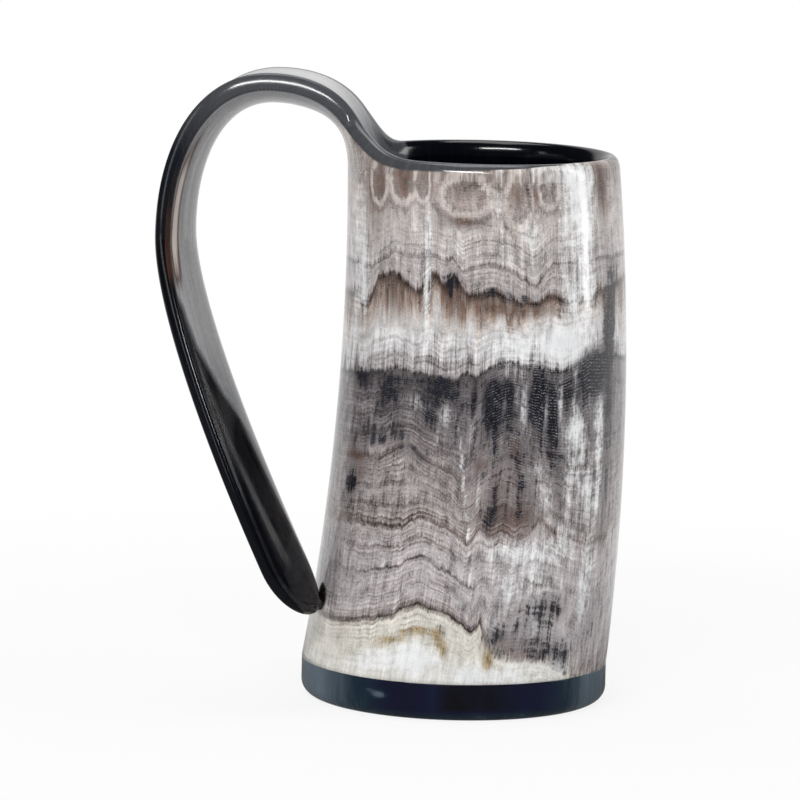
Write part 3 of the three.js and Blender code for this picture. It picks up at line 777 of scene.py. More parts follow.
def horn_marks(cup, strip, marks):
    """Values that the horn's material reads at each point.

    Grain is the point on the unbent sheet in millimetres. Growth is the growth height. Tone holds
    the strength of soot, cream, brown and amber. Finish holds ripples, cells, the strip's crest and
    the clearness of growth lines. The last set holds the darkness of the black horn, which on the
    strip also carries painted light: painted reflection on the loop's face and painted sheen on the
    outside and the edges. It also holds the streak on the strip, the share of the strip's length and,
    above zero, where the horn is black.
    """
    height, radius = root_of(cup)
    angle, along, depth, edge, across = (
        marks[key] for key in ("angle", "along", "depth", "edge", "across")
    )
    past = np.maximum(along, 0)
    stretch = np.where(along > 0, radius, wall_radius(cup, height + along)) / MM
    tall = (height + along) / MM + EDGE_ARC * edge * depth
    grain = np.stack([-np.cos(angle) * stretch, np.sin(angle) * stretch, tall], -1)
    turns = apart(np.degrees(-angle), -FRONT_ANGLE)

    share = past / strip_length(cup, strip)
    lip = depth - along_table(turns, LIP_LINE, period=360)
    black = np.maximum(lip, mix(-BLACK_MARGIN, BLACK_MARGIN, ease(past / MM, 0, BLACK_START)))
    # Painted light on the strip: the greys towards the loop paint a reflection that ends at the near side's
    # black, and the outside and the edges get paler painted sheen
    beyond = ease(across - along_table(share, LOOP_SHADOW), *SHADOW_EDGE)
    towards_loop = along_table(share, LOOP_DARKNESS_AND_REFLECTION) + FAR_SHADE * ease(across, *FAR_SIDE)
    facing = mix(mix(1, towards_loop, beyond), along_table(share, OUTER_DARKNESS_AND_SHEEN), ease(depth, *FACE_TURN))
    on_wall = mix(EDGE_DARKNESS_AND_SHEEN[0][1], 1, ease(depth, *BORE_START))
    dark = np.where(along > 0, mix(facing, along_table(share, EDGE_DARKNESS_AND_SHEEN), edge), on_wall)
    on_loop_face = depth < FACE_TURN[0]
    streak = bell(across, *STREAK_PLACE) * along_table(share, STREAK_PRESENCE) * on_loop_face
    crest = bell(share, *CREST_PLACE) * (along > 0) * on_loop_face

    ripple = patch_strength(turns, tall, RIPPLE_PATCHES)
    lines = patch_strength(turns, tall, LINE_PATCHES)
    return {
        "grain": grain,
        "growth": growth_height(turns, tall),
        "tone": wall_tones(turns, tall),
        "finish": np.stack([ripple, nearest_cell(turns, tall), crest, lines], -1),
        "smoke_and_reflection": np.stack([dark, streak, share, black], -1),
    }


def plate_marks(points):
    """Strength at each point of the base plate, with painted light: the most of its turn's own value,
    which rises as painted reflection towards the sides seen from the front, the painted reflection
    along the lower edge and the painted highlights."""
    turns = apart(np.degrees(np.arctan2(-points[:, 1], -points[:, 0])), -FRONT_ANGLE)
    tall = points[:, 2] / MM
    smoke_and_sheen = np.maximum(along_table(turns, PLATE_SMOKE_AND_SHEEN, period=360), LOWER_EDGE_REFLECTION * ease(tall, *LOWER_EDGE_REFLECTION_HEIGHTS))
    return {"smoke_and_sheen": np.maximum(smoke_and_sheen, patch_strength(turns, tall, PLATE_GLINTS))}


def make_mesh(name, points, quads, material):
    """A smooth-shaded object of quads, with repeated last corners left out."""
    mesh = bpy.data.meshes.new(name)
    kept = np.ones(quads.shape, bool)
    kept[:, 3] = quads[:, 2] != quads[:, 3]
    corners = kept.sum(1)
    mesh.vertices.add(len(points))
    mesh.vertices.foreach_set("co", points.ravel())
    mesh.loops.add(corners.sum())
    mesh.loops.foreach_set("vertex_index", quads[kept])
    mesh.polygons.add(len(quads))
    mesh.polygons.foreach_set("loop_start", np.cumsum(corners) - corners)
    mesh.polygons.foreach_set("use_smooth", np.ones(len(quads), bool))
    mesh.update(calc_edges=True)
    if mesh.validate():
        raise RuntimeError(name + " has faces that do not hold together")
    mesh.materials.append(material)
    piece = bpy.data.objects.new(name, mesh)
    bpy.context.scene.collection.objects.link(piece)
    return piece


def give_marks(piece, values):
    """Stores values as attributes of the piece's points: numbers, vectors or sets of four."""
    kinds = {1: ("FLOAT", "value"), 3: ("FLOAT_VECTOR", "vector"), 4: ("FLOAT_COLOR", "color")}
    for key, array in values.items():
        kind, field = kinds[array.size // len(array)]
        attribute = piece.data.attributes.new(key, kind, "POINT")
        attribute.data.foreach_set(field, np.ascontiguousarray(array, np.float32).ravel())


def settle(piece, node):
    """Puts a finished piece on the frame in place of its solid."""
    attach(piece, "root")
    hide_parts(node)


class Bench:
    """Adds nodes to a material or to the surroundings and wires them."""

    def __init__(self, owner):
        """Starts from the owner's node tree, emptied, and no named noises."""
        owner.use_nodes = True
        self.owner, self.tree, self.noises = owner, owner.node_tree, {}
        self.tree.nodes.clear()

    def node(self, kind, inputs=None, **settings):
        """A new node with its settings, its inputs wired to sockets or set to values."""
        made = self.tree.nodes.new(kind)
        for key, value in settings.items():
            setattr(made, key, value)
        for key, value in (inputs or {}).items():
            if isinstance(value, bpy.types.NodeSocket):
                self.tree.links.new(value, made.inputs[key])
            else:
                made.inputs[key].default_value = value
        return made

    def maths(self, operation, first, second=0.0, third=0.0, clamp=False):
        """One step of arithmetic."""
        inputs = {0: first, 1: second, 2: third}
        return self.node("ShaderNodeMath", inputs, operation=operation, use_clamp=clamp).outputs[0]

    def weigh(self, *terms, start=0.0):
        """A start plus the sum of values, each times its own weight."""
        for value, weight in terms:
            start = self.maths("MULTIPLY_ADD", value, weight, start)
        return start

    def times(self, product, *factors):
        """Values multiplied together."""
        for factor in factors:
            product = self.maths("MULTIPLY", product, factor)
        return product

    def noise(self, vector, scales, detail=2.0, roughness=0.5):
        """Noise, stretched by a scale for each axis, about zero from -0.5 to 0.5."""
        stretched = self.node("ShaderNodeVectorMath", {0: vector, 1: scales}, operation="MULTIPLY")
        settings = {"Vector": stretched.outputs[0], "Scale": 1.0, "Detail": detail, "Roughness": roughness}
        return self.maths("SUBTRACT", self.node("ShaderNodeTexNoise", settings).outputs["Fac"], 0.5)

    def stir(self, recipe, start=0.0):
        """A start plus a sum of the named noises, each times its weight."""
        return self.weigh(*((self.noises[name], weight) for name, weight in recipe), start=start)

    def breaks(self, first, second, low, high):
        """A smooth step over the sum of two of the named noises."""
        return self.step(self.maths("ADD", self.noises[first], self.noises[second]), low, high)

    def ramp(self, value, stops):
        """A colour ramp from pairs of place and colour."""
        made = self.node("ShaderNodeValToRGB", {"Fac": value})
        elements = made.color_ramp.elements
        for place, _ in stops[2:]:
            elements.new(place)
        for element, (place, colour) in zip(elements, stops):
            element.position = place
            element.color = (*colour, 1)
        return made.outputs["Color"]

    def step(self, value, low, high, bottom=0.0, top=1.0):
        """A smooth step from the bottom at low to the top at high."""
        limits = {"Value": value, "From Min": low, "From Max": high, "To Min": bottom, "To Max": top}
        return self.node("ShaderNodeMapRange", limits, interpolation_type="SMOOTHSTEP").outputs["Result"]

    def stripe(self, value, start, full, fade, end):
        """A smooth step up from start to full, times a smooth step down from fade to end."""
        return self.times(self.step(value, start, full), self.step(value, end, fade))

    def blend(self, share, low, high, mode="MIX"):
        """Mixes two colours."""
        colours = [value if isinstance(value, bpy.types.NodeSocket) else (*value, 1) for value in (low, high)]
        inputs = {0: share, 6: colours[0], 7: colours[1]}
        return self.node("ShaderNodeMix", inputs, data_type="RGBA", blend_type=mode).outputs[2]

    def attribute(self, name):
        """The outputs of one of the piece's own attributes."""
        return self.node("ShaderNodeAttribute", attribute_name=name).outputs

    def channels(self, name):
        """The four values of one of the piece's own attributes."""
        values = self.attribute(name)
        three = self.node("ShaderNodeSeparateColor", {"Color": values["Color"]}).outputs
        return three["Red"], three["Green"], three["Blue"], values["Alpha"]

    def place(self):
        """The point on the piece, in metres."""
        return self.node("ShaderNodeTexCoord").outputs["Object"]

    def finish(self, shader, output="ShaderNodeOutputMaterial"):
        """Puts a shader on the output and gives back the owner."""
        self.node(output, {"Surface": shader.outputs[0]})
        return self.owner

    def polish(self, colour, stray, gloss, relief, bump, whole):
        """Finishes a polished material: a noise strays its roughness, a relief bumps it, and the last
        values hold for the whole surface."""
        height = {"Height": relief, "Strength": bump[0], "Distance": bump[1]}
        normal = self.node("ShaderNodeBump", height).outputs[0]
        roughness = self.weigh((stray, gloss[1]), start=gloss[0])
        inputs = {"Base Color": colour, "Roughness": roughness, "Normal": normal, **whole}
        return self.finish(self.node("ShaderNodeBsdfPrincipled", inputs))


def new_material(name):
    """A bench for a new material."""
    return Bench(bpy.data.materials.new(name))


# Colours of the growth bands: growth height in millimetres and screen colour
BANDS = (
    (9, (232, 230, 223)), (20, (224, 220, 210)), (25.4, (228, 223, 213)), (26.6, (150, 140, 138)),
    (31, (182, 176, 177)), (41, (180, 174, 175)), (47, (180, 174, 175)), (52.4, (182, 175, 175)),
    (53.6, (134, 122, 119)), (57, (158, 150, 149)), (63, (158, 151, 151)), (70, (146, 138, 138)),
    (76, (132, 125, 126)), (84, (126, 120, 122)), (91, (116, 110, 113)), (94, (124, 117, 119)),
    (96, (152, 147, 148)), (98, (194, 190, 191)), (101, (216, 214, 215)), (106, (214, 210, 209)),
    (110, (200, 191, 186)), (113, (176, 161, 151)), (117, (132, 113, 103)), (119, (108, 93, 86)),
    (120.4, (176, 169, 168)), (127, (186, 180, 180)), (136, (206, 199, 196)), (143, (186, 176, 172)),
    (150, (160, 149, 144)),
)
# How far the bands' colours stray along the fibres: growth height and amount
STRAYING = (
    (25, 0.1), (27, 0.15), (34, 1.2), (49, 1.1), (52, 0.25), (54, 0.3), (59, 1.2), (92, 1.2),
    (95, 0.4), (98, 1), (104, 1.6), (115, 1.4), (118, 0.2), (121, 0.15), (126, 1.2),
)
# Lines across the bands: growth height, fading below and above, and the colour they leave
FOOT_LINES = ((26, 0.6, 3, (66, 46, 39)),)
BOLD_LINES = (
    (95, 1.7, 1.1, (26, 22, 26)), (119, 2.6, 0.8, (124, 112, 112)), (126, 0.7, 1.3, (150, 141, 141)),
)
FINE_LINES = (
    (36.5, 0.5, 1.2, (186, 176, 174)), (42.5, 0.5, 1.6, (104, 92, 92)),
    (48, 0.5, 1.2, (170, 160, 158)), (53.2, 0.6, 1.4, (124, 110, 106)),
    (58.5, 0.5, 1.2, (176, 166, 164)), (64, 0.5, 1.4, (160, 150, 148)), (72, 0.7, 1.8, (92, 74, 70)),
    (78.5, 0.6, 1.4, (104, 88, 84)),
)
UPPER_LINES = (
    (84, 0.6, 1.4, (96, 84, 84)), (89, 0.6, 1.4, (90, 78, 80)), (99, 0.5, 1.2, (150, 138, 138)),
    (103, 0.5, 1.2, (206, 198, 197)), (123, 0.4, 1, (190, 182, 181)), (129, 0.4, 1, (186, 178, 177)),
    (133, 0.4, 1, (204, 196, 195)),
)
CREST_GAIN = 1.22
HALF = (0.5, 0.5, 0.5)  # ramps hold half of a factor, so that factors up to 2 fit
BAND_SPAN = 160
# Colours of black horn from pale to black; on the strip the pale and grey end paints reflection and sheen
SMOKE_AND_REFLECTION_RAMP = (
    (0, (222, 221, 222)), (0.3, (118, 120, 124)), (0.6, (74, 75, 79)), (0.85, (22, 26, 34)),
    (1, (4, 6, 13)),
)

# Noises along the unbent sheet: scales per millimetre round it and up it, detail, roughness
HORN_NOISES = {
    "fibre": ((2.3, 2.3, 0.06), 3, 0.65),
    "strand": ((0.7, 0.7, 0.022), 2),
    "tress": ((0.3, 0.3, 0.025), 3, 0.6),
    "fleck": ((3.0, 3.0, 1.5), 2),
    "cloud": ((0.09, 0.09, 0.06), 2),
    "zigzag": ((0.22, 0.22, 0.01), 2),
    "dash": ((1.1, 1.1, 0.8), 2),
}
# The same along the growth lines
LAYER_NOISES = {"layer": ((0.05, 0.05, 1.0), 3, 0.6), "mottle": ((0.45, 0.45, 0.2), 3, 0.6)}
# Noises of the black horn, the resin and the floor: scales per metre, detail, roughness
PLATE_STREAK = ((420, 420, 60), 3, 0.6)
PLATE_CLOUD = ((60, 60, 20), 2)
PLATE_SPECK = ((700, 700, 700), 1)
RESIN_CLOUD = ((160, 160, 160), 3)
RESIN_BUBBLE = ((1400, 1400, 1400), 1)
FLOOR_MOTTLE = ((6, 6, 6), 3)

# Sums of noises with their weights
ZIGZAG = ("zigzag", 3.0)
STRAY = (("fibre", 8.0), ("strand", 11.0), ("tress", 13.0))
JAG = (("strand", 1.6), ("fibre", 2.6), ZIGZAG)
RAGGED = (("strand", 1.6), ZIGZAG)
WANDER = (("cloud", 4.0), ZIGZAG)
FRAY = (("strand", 1.1), ("fibre", 0.55), ("mottle", 1.5), ("fleck", 0.6), ("layer", 1.0))
SOFT = (("strand", 0.6), ("dash", 0.5), ("fibre", 0.5), ("mottle", 0.8), ("layer", 0.7))
SMEAR = (("mottle", 0.6), ("strand", 0.5))
WOBBLE = (("fibre", 0.15), ("dash", 0.3), ("mottle", 0.5))
FINE = (("strand", 0.9), ("fibre", 1.25), ("mottle", 2.0), ("fleck", 1.3))
HAZE = (("dash", 0.08), ("fibre", 0.08), ("strand", 0.16))
STREAK_SIDES = (("fibre", 0.5), ("strand", 1.2))

# Where a sum of two noises breaks something up: the noises, and the smooth step over their sum
LINE_BREAKS = ("cloud", "tress", -0.3, 0.02)
GROWTH_BREAKS = ("cloud", "strand", -0.22, 0.16)
DASH_BREAKS = ("dash", "fleck", -0.15, 0.3)
RIDGE_BREAKS = ("tress", "dash", -0.2, 0.25)
TEETH_BREAKS = ("strand", "dash", -0.1, 0.3)

# Growth bands and lines
LINE_GAIN = 1.6  # how soon growth lines are whole where they are clear
LOOSE_STRAY = 0.6  # extra straying of the bands where no lines are
BAND_FRAY = 1.5
CREST_END = 2.2  # of a line's height above it, where its pale crest ends
# Growth lines at a period in millimetres: period, width as a share of it, strength
LINE_PERIODS = ((4.3, 0.08, 0.6), (1.27, 0.2, 0.4))
LINE_FRAY = 0.35  # of the period
LINE_SPREAD = 2.5  # how far a line fades, and where it stops, in its widths
LINE_STOP = 0.4
LINE_PALENESS = 0.6

# Patches in the order in which they are laid: noises that fray the edge, strength at which the patch is
# full, and its share there
PATCH_LOOKS = {
    "brown": (FRAY, 1.0, 0.78), "cream": (SOFT, 0.98, 0.95), "soot": (FRAY, 0.7, 0.97),
    "amber": (SMEAR, 0.88, 0.8),
}
PATCH_START = 0.16
PATCH_GAIN = 4.0  # how soon the fraying sets in

# Cells: middle, outline and shadow by the distance from the middle, and their shares
CELL_MIDDLE = (1.0, 0.7)
MIDDLE_SHARE = 0.05
MIDDLE_RISE = 0.35
CELL_OUTLINE = (0.78, 0.98, 1.05, 1.3)
OUTLINE_SHARE = 0.55
CELL_SHADOW = (1.1, 1.3, 1.35, 1.6)
SHADOW_SHARE = 0.3

# Pale dashes in rows per millimetre, and fine shading
DASH_ROWS = 1.5
DASH_WANDER = 1.2
DASH_SHARE = 0.26
RIDGE_TURN = 8.4  # of the weave of growth ridges, in radians per millimetre
RIDGE_WANDER = 30.0
RIDGE_DEPTH = 0.1
LAYER_DEPTH = 0.7
SHADE_DEPTH = 1.55  # of the fine shading on black, and how it falls towards white
SHADE_FALL = -1.5
DARKEST = 0.2

# Black horn: its edge, the warm streak, and the teeth along the strip's crest
BLACK_FRAY = 0.02
BLACK_EDGE = (-0.015, 0.02)
STREAK_EDGE = (0.25, 0.85)
STREAK_GAIN = 3.0
BLUSH_EDGE = (0.6, 0.9)
BLUSH_FRAY = 0.6
TEETH_TURN = 1200.0  # in radians over the whole strip
TEETH_WANDER = 6.0
TEETH_EDGE = (0.2, 1.0)
TEETH_SHARE = 0.45

# The plate's smokiness: weights of its noises and places of its colours, whose paler end also paints
# reflection and highlights; its specks and the resin's bubbles
PLATE_HAZE = (0.25, 0.5)
PLATE_RAMP = {"black": 0.1, "navy": 0.4, "teal": 0.62, "slate": 0.98}
SPECK_EDGE = (0.34, 0.37)
BUBBLE_EDGE = (0.2, 0.3)
RESIN_SHADES = ((0.3, 0.7), (0.75, 1.5))  # places and brightness

# Gloss of each material as roughness and how far it strays; bump as strength and height in metres
HORN_GLOSS = (0.14, 0.08)
PLATE_GLOSS = (0.12, 0.08)
RESIN_GLOSS = (0.18, 0.15)
HORN_BUMP = (0.04, 0.0003)
RESIN_BUMP = (0.1, 0.0002)


def over_bands(stops):
    """Places of a ramp's stops from growth heights."""
    return [(height / BAND_SPAN, colour) for height, colour in stops]


def line_colours(bench, place, lines):
    """A factor for lines across the bands: each fades out below, and above it turns into a pale crest."""
    crest = (CREST_GAIN / 2,) * 3
    stops = []
    for height, below, above, colour in lines:
        line = tuple(share / 2 for share in paint(*colour))
        end = height + CREST_END * above
        stops += [(height - below, HALF), (height, line), (height + above, crest), (end, HALF)]
    factor = bench.ramp(bench.maths("DIVIDE", place, BAND_SPAN), over_bands(stops))
    return bench.blend(1.0, factor, (2, 2, 2), "MULTIPLY")


def growth_colour(bench, growth, clear):
    """Colour of the growth bands, streaked along the fibres, with jagged lines across them."""
    whole = bench.maths("MULTIPLY", clear, LINE_GAIN, clamp=True)
    amounts = over_bands((height, (amount / 2,) * 3) for height, amount in STRAYING)
    amount = bench.ramp(bench.maths("DIVIDE", growth, BAND_SPAN), amounts)
    amount = bench.weigh((amount, 2.0), (whole, -LOOSE_STRAY), start=LOOSE_STRAY)
    level = bench.weigh((bench.stir(STRAY), amount), (bench.noises["fibre"], BAND_FRAY), start=growth)
    level = bench.stir((ZIGZAG,), level)
    screens = over_bands((height, paint(*screen)) for height, screen in BANDS)
    colour = bench.ramp(bench.maths("DIVIDE", level, BAND_SPAN), screens)

    place = bench.stir(JAG, growth)
    broken = bench.times(clear, bench.breaks(*LINE_BREAKS))
    layers = ((broken, FINE_LINES), (broken, UPPER_LINES), (whole, FOOT_LINES), (1.0, BOLD_LINES))
    for share, lines in layers:
        colour = bench.blend(share, colour, line_colours(bench, place, lines), "MULTIPLY")
    return colour


def growth_lines(bench, colours, colour, growth, clear, period, width, strength):
    """Adds growth lines at a period: a dark line with a paler one above it, broken up by clouds."""
    level = bench.stir((*WANDER, ("fibre", period * LINE_FRAY)), growth)
    saw = bench.maths("FRACT", bench.maths("DIVIDE", level, period))
    present = bench.times(bench.breaks(*GROWTH_BREAKS), clear, strength)
    dark = bench.stripe(saw, 1 - LINE_SPREAD * width, 1 - width, 1 - LINE_STOP * width, 1.0)
    pale = bench.times(bench.step(saw, LINE_SPREAD * width, 0.0), LINE_PALENESS)
    colour = bench.blend(bench.times(dark, present), colour, colours.umber)
    return bench.blend(bench.times(pale, present), colour, colours.pearl)


def frayed_patches(bench, colours, colour, tones):
    """Lays the patches, each with its edge frayed by its own noises."""
    for name, (recipe, limit, full) in PATCH_LOOKS.items():
        hold = bench.maths("MULTIPLY", tones[name], PATCH_GAIN, clamp=True)
        strength = bench.weigh((bench.stir(recipe), hold), start=tones[name])
        share = bench.times(bench.step(strength, PATCH_START, limit), full)
        colour = bench.blend(share, colour, getattr(colours, name))
    return colour


def rim_cells(bench, colours, colour, cells):
    """Lays the cells under the rim: a pale ragged outline and a shadow round a brownish middle."""
    ring = bench.stir(WOBBLE, cells)
    middle = bench.weigh((ring, MIDDLE_RISE), start=MIDDLE_SHARE)
    middle = bench.times(bench.step(ring, *CELL_MIDDLE), middle)
    shadow = bench.times(bench.stripe(ring, *CELL_SHADOW), SHADOW_SHARE)
    outline = bench.times(bench.stripe(ring, *CELL_OUTLINE), OUTLINE_SHARE)
    colour = bench.blend(middle, colour, colours.brown)
    colour = bench.blend(shadow, colour, colours.brown)
    return bench.blend(outline, colour, colours.blush)


def pale_dashes(bench, colours, colour, growth, ripples):
    """Lays rows of pale dashes across the fibres."""
    rows = bench.weigh((growth, DASH_ROWS), (bench.noises["strand"], DASH_WANDER))
    wave = bench.maths("SINE", bench.times(rows, 2 * math.pi))
    broken = bench.breaks(*DASH_BREAKS)
    share = bench.times(bench.step(wave, 0.0, 1.0), broken, ripples, DASH_SHARE)
    return bench.blend(share, colour, colours.cream)


def fine_shade(bench, colour, growth, clear):
    """Shades fine fibres, flecks and a close weave of growth ridges, more on dark horn than on pale."""
    weave = bench.maths("SINE", bench.weigh((growth, RIDGE_TURN), (bench.noises["cloud"], RIDGE_WANDER)))
    weave = bench.times(weave, bench.breaks(*RIDGE_BREAKS))
    lined = bench.maths("ADD", clear, LAYER_DEPTH)
    shade = bench.stir(FINE)
    shade = bench.weigh((bench.noises["layer"], lined), (weave, RIDGE_DEPTH), start=shade)
    light = bench.node("ShaderNodeRGBToBW", {"Color": colour}).outputs[0]
    depth = bench.weigh((light, SHADE_FALL), start=SHADE_DEPTH)
    shade = bench.maths("MAXIMUM", bench.weigh((shade, depth), start=1.0), DARKEST)
    grey = bench.node("ShaderNodeCombineColor", {"Red": shade, "Green": shade, "Blue": shade}).outputs[0]
    return bench.blend(1.0, colour, grey, "MULTIPLY")


def smoked_and_reflected(bench, colours, dark, streak, share, crest):
    """Black horn from pale to black, whose greys paint reflection and sheen on the strip, with a warm streak
    and, at the strip's crest, fine pale teeth.
    """
    strand = bench.noises["strand"]
    black = bench.ramp(bench.stir(HAZE, dark), [(place, paint(*screen)) for place, screen in SMOKE_AND_REFLECTION_RAMP])
    warmth = bench.step(bench.weigh((strand, BLUSH_FRAY), start=streak), *BLUSH_EDGE)
    warm = bench.blend(warmth, colours.brown, colours.blush)
    hold = bench.maths("MULTIPLY", streak, STREAK_GAIN, clamp=True)
    present = bench.weigh((bench.stir(STREAK_SIDES), hold), start=streak)
    black = bench.blend(bench.step(present, *STREAK_EDGE), black, warm)
    teeth = bench.maths("SINE", bench.weigh((share, TEETH_TURN), (strand, TEETH_WANDER)))
    broken = bench.breaks(*TEETH_BREAKS)
    teeth = bench.times(bench.step(teeth, *TEETH_EDGE), broken, crest, TEETH_SHARE)
    return bench.blend(teeth, black, colours.pearl)


def polished_horn(colours):
    """Streaked horn: growth bands and lines, patches with fibrous edges, ripples, cells and black horn."""
    bench = new_material("polished_horn")
    grain = bench.attribute("grain")["Vector"]
    growth = bench.attribute("growth")["Fac"]
    tones = dict(zip(("soot", "cream", "brown", "amber"), bench.channels("tone")))
    ripples, cells, crest, clear = bench.channels("finish")
    dark, streak, share, begins = bench.channels("smoke_and_reflection")

    bench.noises = {name: bench.noise(grain, *kind) for name, kind in HORN_NOISES.items()}
    axes = bench.node("ShaderNodeSeparateXYZ", {0: grain}).outputs
    ragged = bench.stir(RAGGED, growth)
    grown = bench.node("ShaderNodeCombineXYZ", {0: axes[0], 1: axes[1], 2: ragged}).outputs[0]
    bench.noises |= {name: bench.noise(grown, *kind) for name, kind in LAYER_NOISES.items()}

    colour = growth_colour(bench, growth, clear)
    for lines in LINE_PERIODS:
        colour = growth_lines(bench, colours, colour, growth, clear, *lines)
    colour = frayed_patches(bench, colours, colour, tones)
    colour = rim_cells(bench, colours, colour, cells)
    colour = pale_dashes(bench, colours, colour, growth, ripples)
    colour = fine_shade(bench, colour, growth, clear)
    black = smoked_and_reflected(bench, colours, dark, streak, share, crest)
    fibre, fleck = bench.noises["fibre"], bench.noises["fleck"]
    begins = bench.weigh((fibre, BLACK_FRAY), start=begins)
    colour = bench.blend(bench.step(begins, *BLACK_EDGE), colour, black)
    return bench.polish(colour, fleck, HORN_GLOSS, fibre, HORN_BUMP, {"IOR": 1.52})


def black_horn(colours):
    """Polished black horn: hazy streaks over the plate's own smokiness, whose paler colours also paint
    reflection and highlights, and a few pale specks.
    """
    bench = new_material("black_horn")
    place = bench.place()
    streak = bench.noise(place, *PLATE_STREAK)
    cloud = bench.noise(place, *PLATE_CLOUD)
    speck = bench.noise(place, *PLATE_SPECK)
    smoke_and_sheen = bench.weigh(*zip((streak, cloud), PLATE_HAZE), start=bench.attribute("smoke_and_sheen")["Fac"])
    smoke_and_reflection = bench.ramp(smoke_and_sheen, [(at, getattr(colours, name)) for name, at in PLATE_RAMP.items()])
    colour = bench.blend(bench.step(speck, *SPECK_EDGE), smoke_and_reflection, colours.pearl)
    return bench.polish(colour, streak, PLATE_GLOSS, streak, HORN_BUMP, {"IOR": 1.55})


def set_resin(colours):
    """Set resin: dark amber, cloudy, with small bubbles under a wet gloss."""
    bench = new_material("set_resin")
    place = bench.place()
    cloud = bench.noise(place, *RESIN_CLOUD)
    bubble = bench.noise(place, *RESIN_BUBBLE)
    shades = [(at, tuple(gain * share for share in colours.resin)) for at, gain in RESIN_SHADES]
    base = bench.ramp(bench.maths("ADD", cloud, 0.5), shades)
    colour = bench.blend(bench.step(bubble, *BUBBLE_EDGE), base, colours.amber)
    return bench.polish(colour, cloud, RESIN_GLOSS, bubble, RESIN_BUMP, {"Coat Weight": 0.4})


def ring_stack(cup, radius, axis_height, height):
    """Points of level rings from radii and heights, each ring about the axis at its own height."""
    angle = np.linspace(0, 2 * math.pi, RING_SIDES, endpoint=False)
    points = round_axis(cup, np.asarray(radius)[:, None], angle, np.asarray(axis_height)[:, None])
    points[..., 2] = np.asarray(height)[:, None]
    return points


def plate_surface(cup):
    """The plate as stacked rings: underside, rounded lower edge, side, shoulder, plug and floor."""
    arc = np.linspace(0, math.pi / 2, ARC_STEPS + 1)
    top = cup.plate_height + cup.plug_height
    groove = cup.seam_groove
    plug = bore_radius(cup, cup.plate_height) - cup.plug_gap
    floor = bore_radius(cup, top) - cup.plug_gap
    inner = np.array(DISC_RINGS)
    rows = np.arange(1, PLATE_ROWS + 1) / PLATE_ROWS
    flat = cup.foot_radius - cup.plate_edge
    radius = np.concatenate([
        inner * flat, flat + cup.plate_edge * np.sin(arc), np.full(PLATE_ROWS, cup.foot_radius),
        cup.foot_radius - groove * (1 - np.cos(arc)), [plug, plug, floor - groove], floor * inner[::-1],
    ])
    height = np.concatenate([
        inner * 0, cup.plate_edge * (1 - np.cos(arc)),
        mix(cup.plate_edge, cup.plate_height - 2 * groove, rows),
        cup.plate_height - groove * (1 - np.sin(arc)), [cup.plate_height, top - groove, top], top + inner * 0,
    ])
    return capped(ring_stack(cup, radius, np.maximum(height, cup.plate_height), height))


def capped(points):
    """A closed skin over stacked rings, the first and the last of which are single points.

    A quad that has a repeated corner is turned so that the repeat is last, and points that no
    quad uses are dropped.
    """
    numbers = point_numbers(points)
    numbers[[0, -1]] = numbers[[0, -1], :1]
    rings = closed(numbers)
    quads = band_faces(rings[:-1], rings[1:], True)
    for shift in range(4):
        rolled = np.roll(quads, shift, 1)
        pinched = rolled[:, 2] == rolled[:, 3]
        quads = np.where(pinched[:, None], rolled, quads)
    used, numbers = np.unique(quads, return_inverse=True)
    return points.reshape(-1, 3)[used], numbers.reshape(quads.shape)


def seal_surface(cup):
    """The bead: a section with two legs and a hollow quarter circle, carried round the bore."""
    floor = cup.plate_height + cup.plug_height + cup.seat_gap
    arc = np.linspace(0, math.pi / 2, ARC_STEPS + 1)
    inwards = np.concatenate([[0], cup.seal_leg * (1 - np.sin(arc))])
    height = floor + np.concatenate([[0], cup.seal_leg * (1 - np.cos(arc))])
    points = ring_stack(cup, bore_radius(cup, height) - cup.seat_gap - inwards, height, height)
    numbers = point_numbers(points)
    rings = closed(np.concatenate([numbers, numbers[:1]]))
    return points.reshape(-1, 3), band_faces(rings[:-1], rings[1:], False)


def bond_surface(cup, strip):
    """The drop of glue: a disc fitted to the wall and a paraboloid dome up to the strip's tip."""
    gap, angle, z = tip_contact(cup, strip)
    dome = gap - 2 * cup.seat_gap
    ring = np.arange(DROP_RINGS + 1) / DROP_RINGS
    out = np.concatenate([ring, ring[-2::-1]])
    lift = np.concatenate([ring * 0, dome * (1 - ring[-2::-1] ** 2)])
    turned = np.linspace(0, 2 * math.pi, DROP_SIDES, endpoint=False)
    spread = cup.bond_radius * out[:, None]
    height = z + spread * np.sin(turned)
    around = angle + spread * np.cos(turned) / wall_radius(cup, z)
    radius = wall_radius(cup, height) + cup.seat_gap + lift[:, None]
    return capped(round_axis(cup, radius, around, height))


class TANKARD_OT_horn_shell(bpy.types.Operator):
    """Build the cup's wall and the handle as one piece of polished horn"""

    bl_idname = "tankard.horn_shell"
    bl_label = "Horn shell"

    def execute(self, context):
        settings = context.scene.tankard
        fit_tip(settings.cup, settings.strip)
        points, quads, marks = shell_surface(settings.cup, settings.strip)
        piece = make_mesh("polished_shell", points, quads, polished_horn(settings.colours))
        if len(piece.data.vertices) != len(points):
            raise RuntimeError("the shell lost points")
        give_marks(piece, horn_marks(settings.cup, settings.strip, marks))
        settle(piece, "horn_shell")
        return {"FINISHED"}


class TANKARD_OT_base_plate(bpy.types.Operator):
    """Build the black horn plate that closes the cup"""

    bl_idname = "tankard.base_plate"
    bl_label = "Base plate"

    def execute(self, context):
        settings = context.scene.tankard
        points, quads = plate_surface(settings.cup)
        piece = make_mesh("polished_plate", points, quads, black_horn(settings.colours))
        give_marks(piece, plate_marks(points))
        settle(piece, "base_plate")
        return {"FINISHED"}


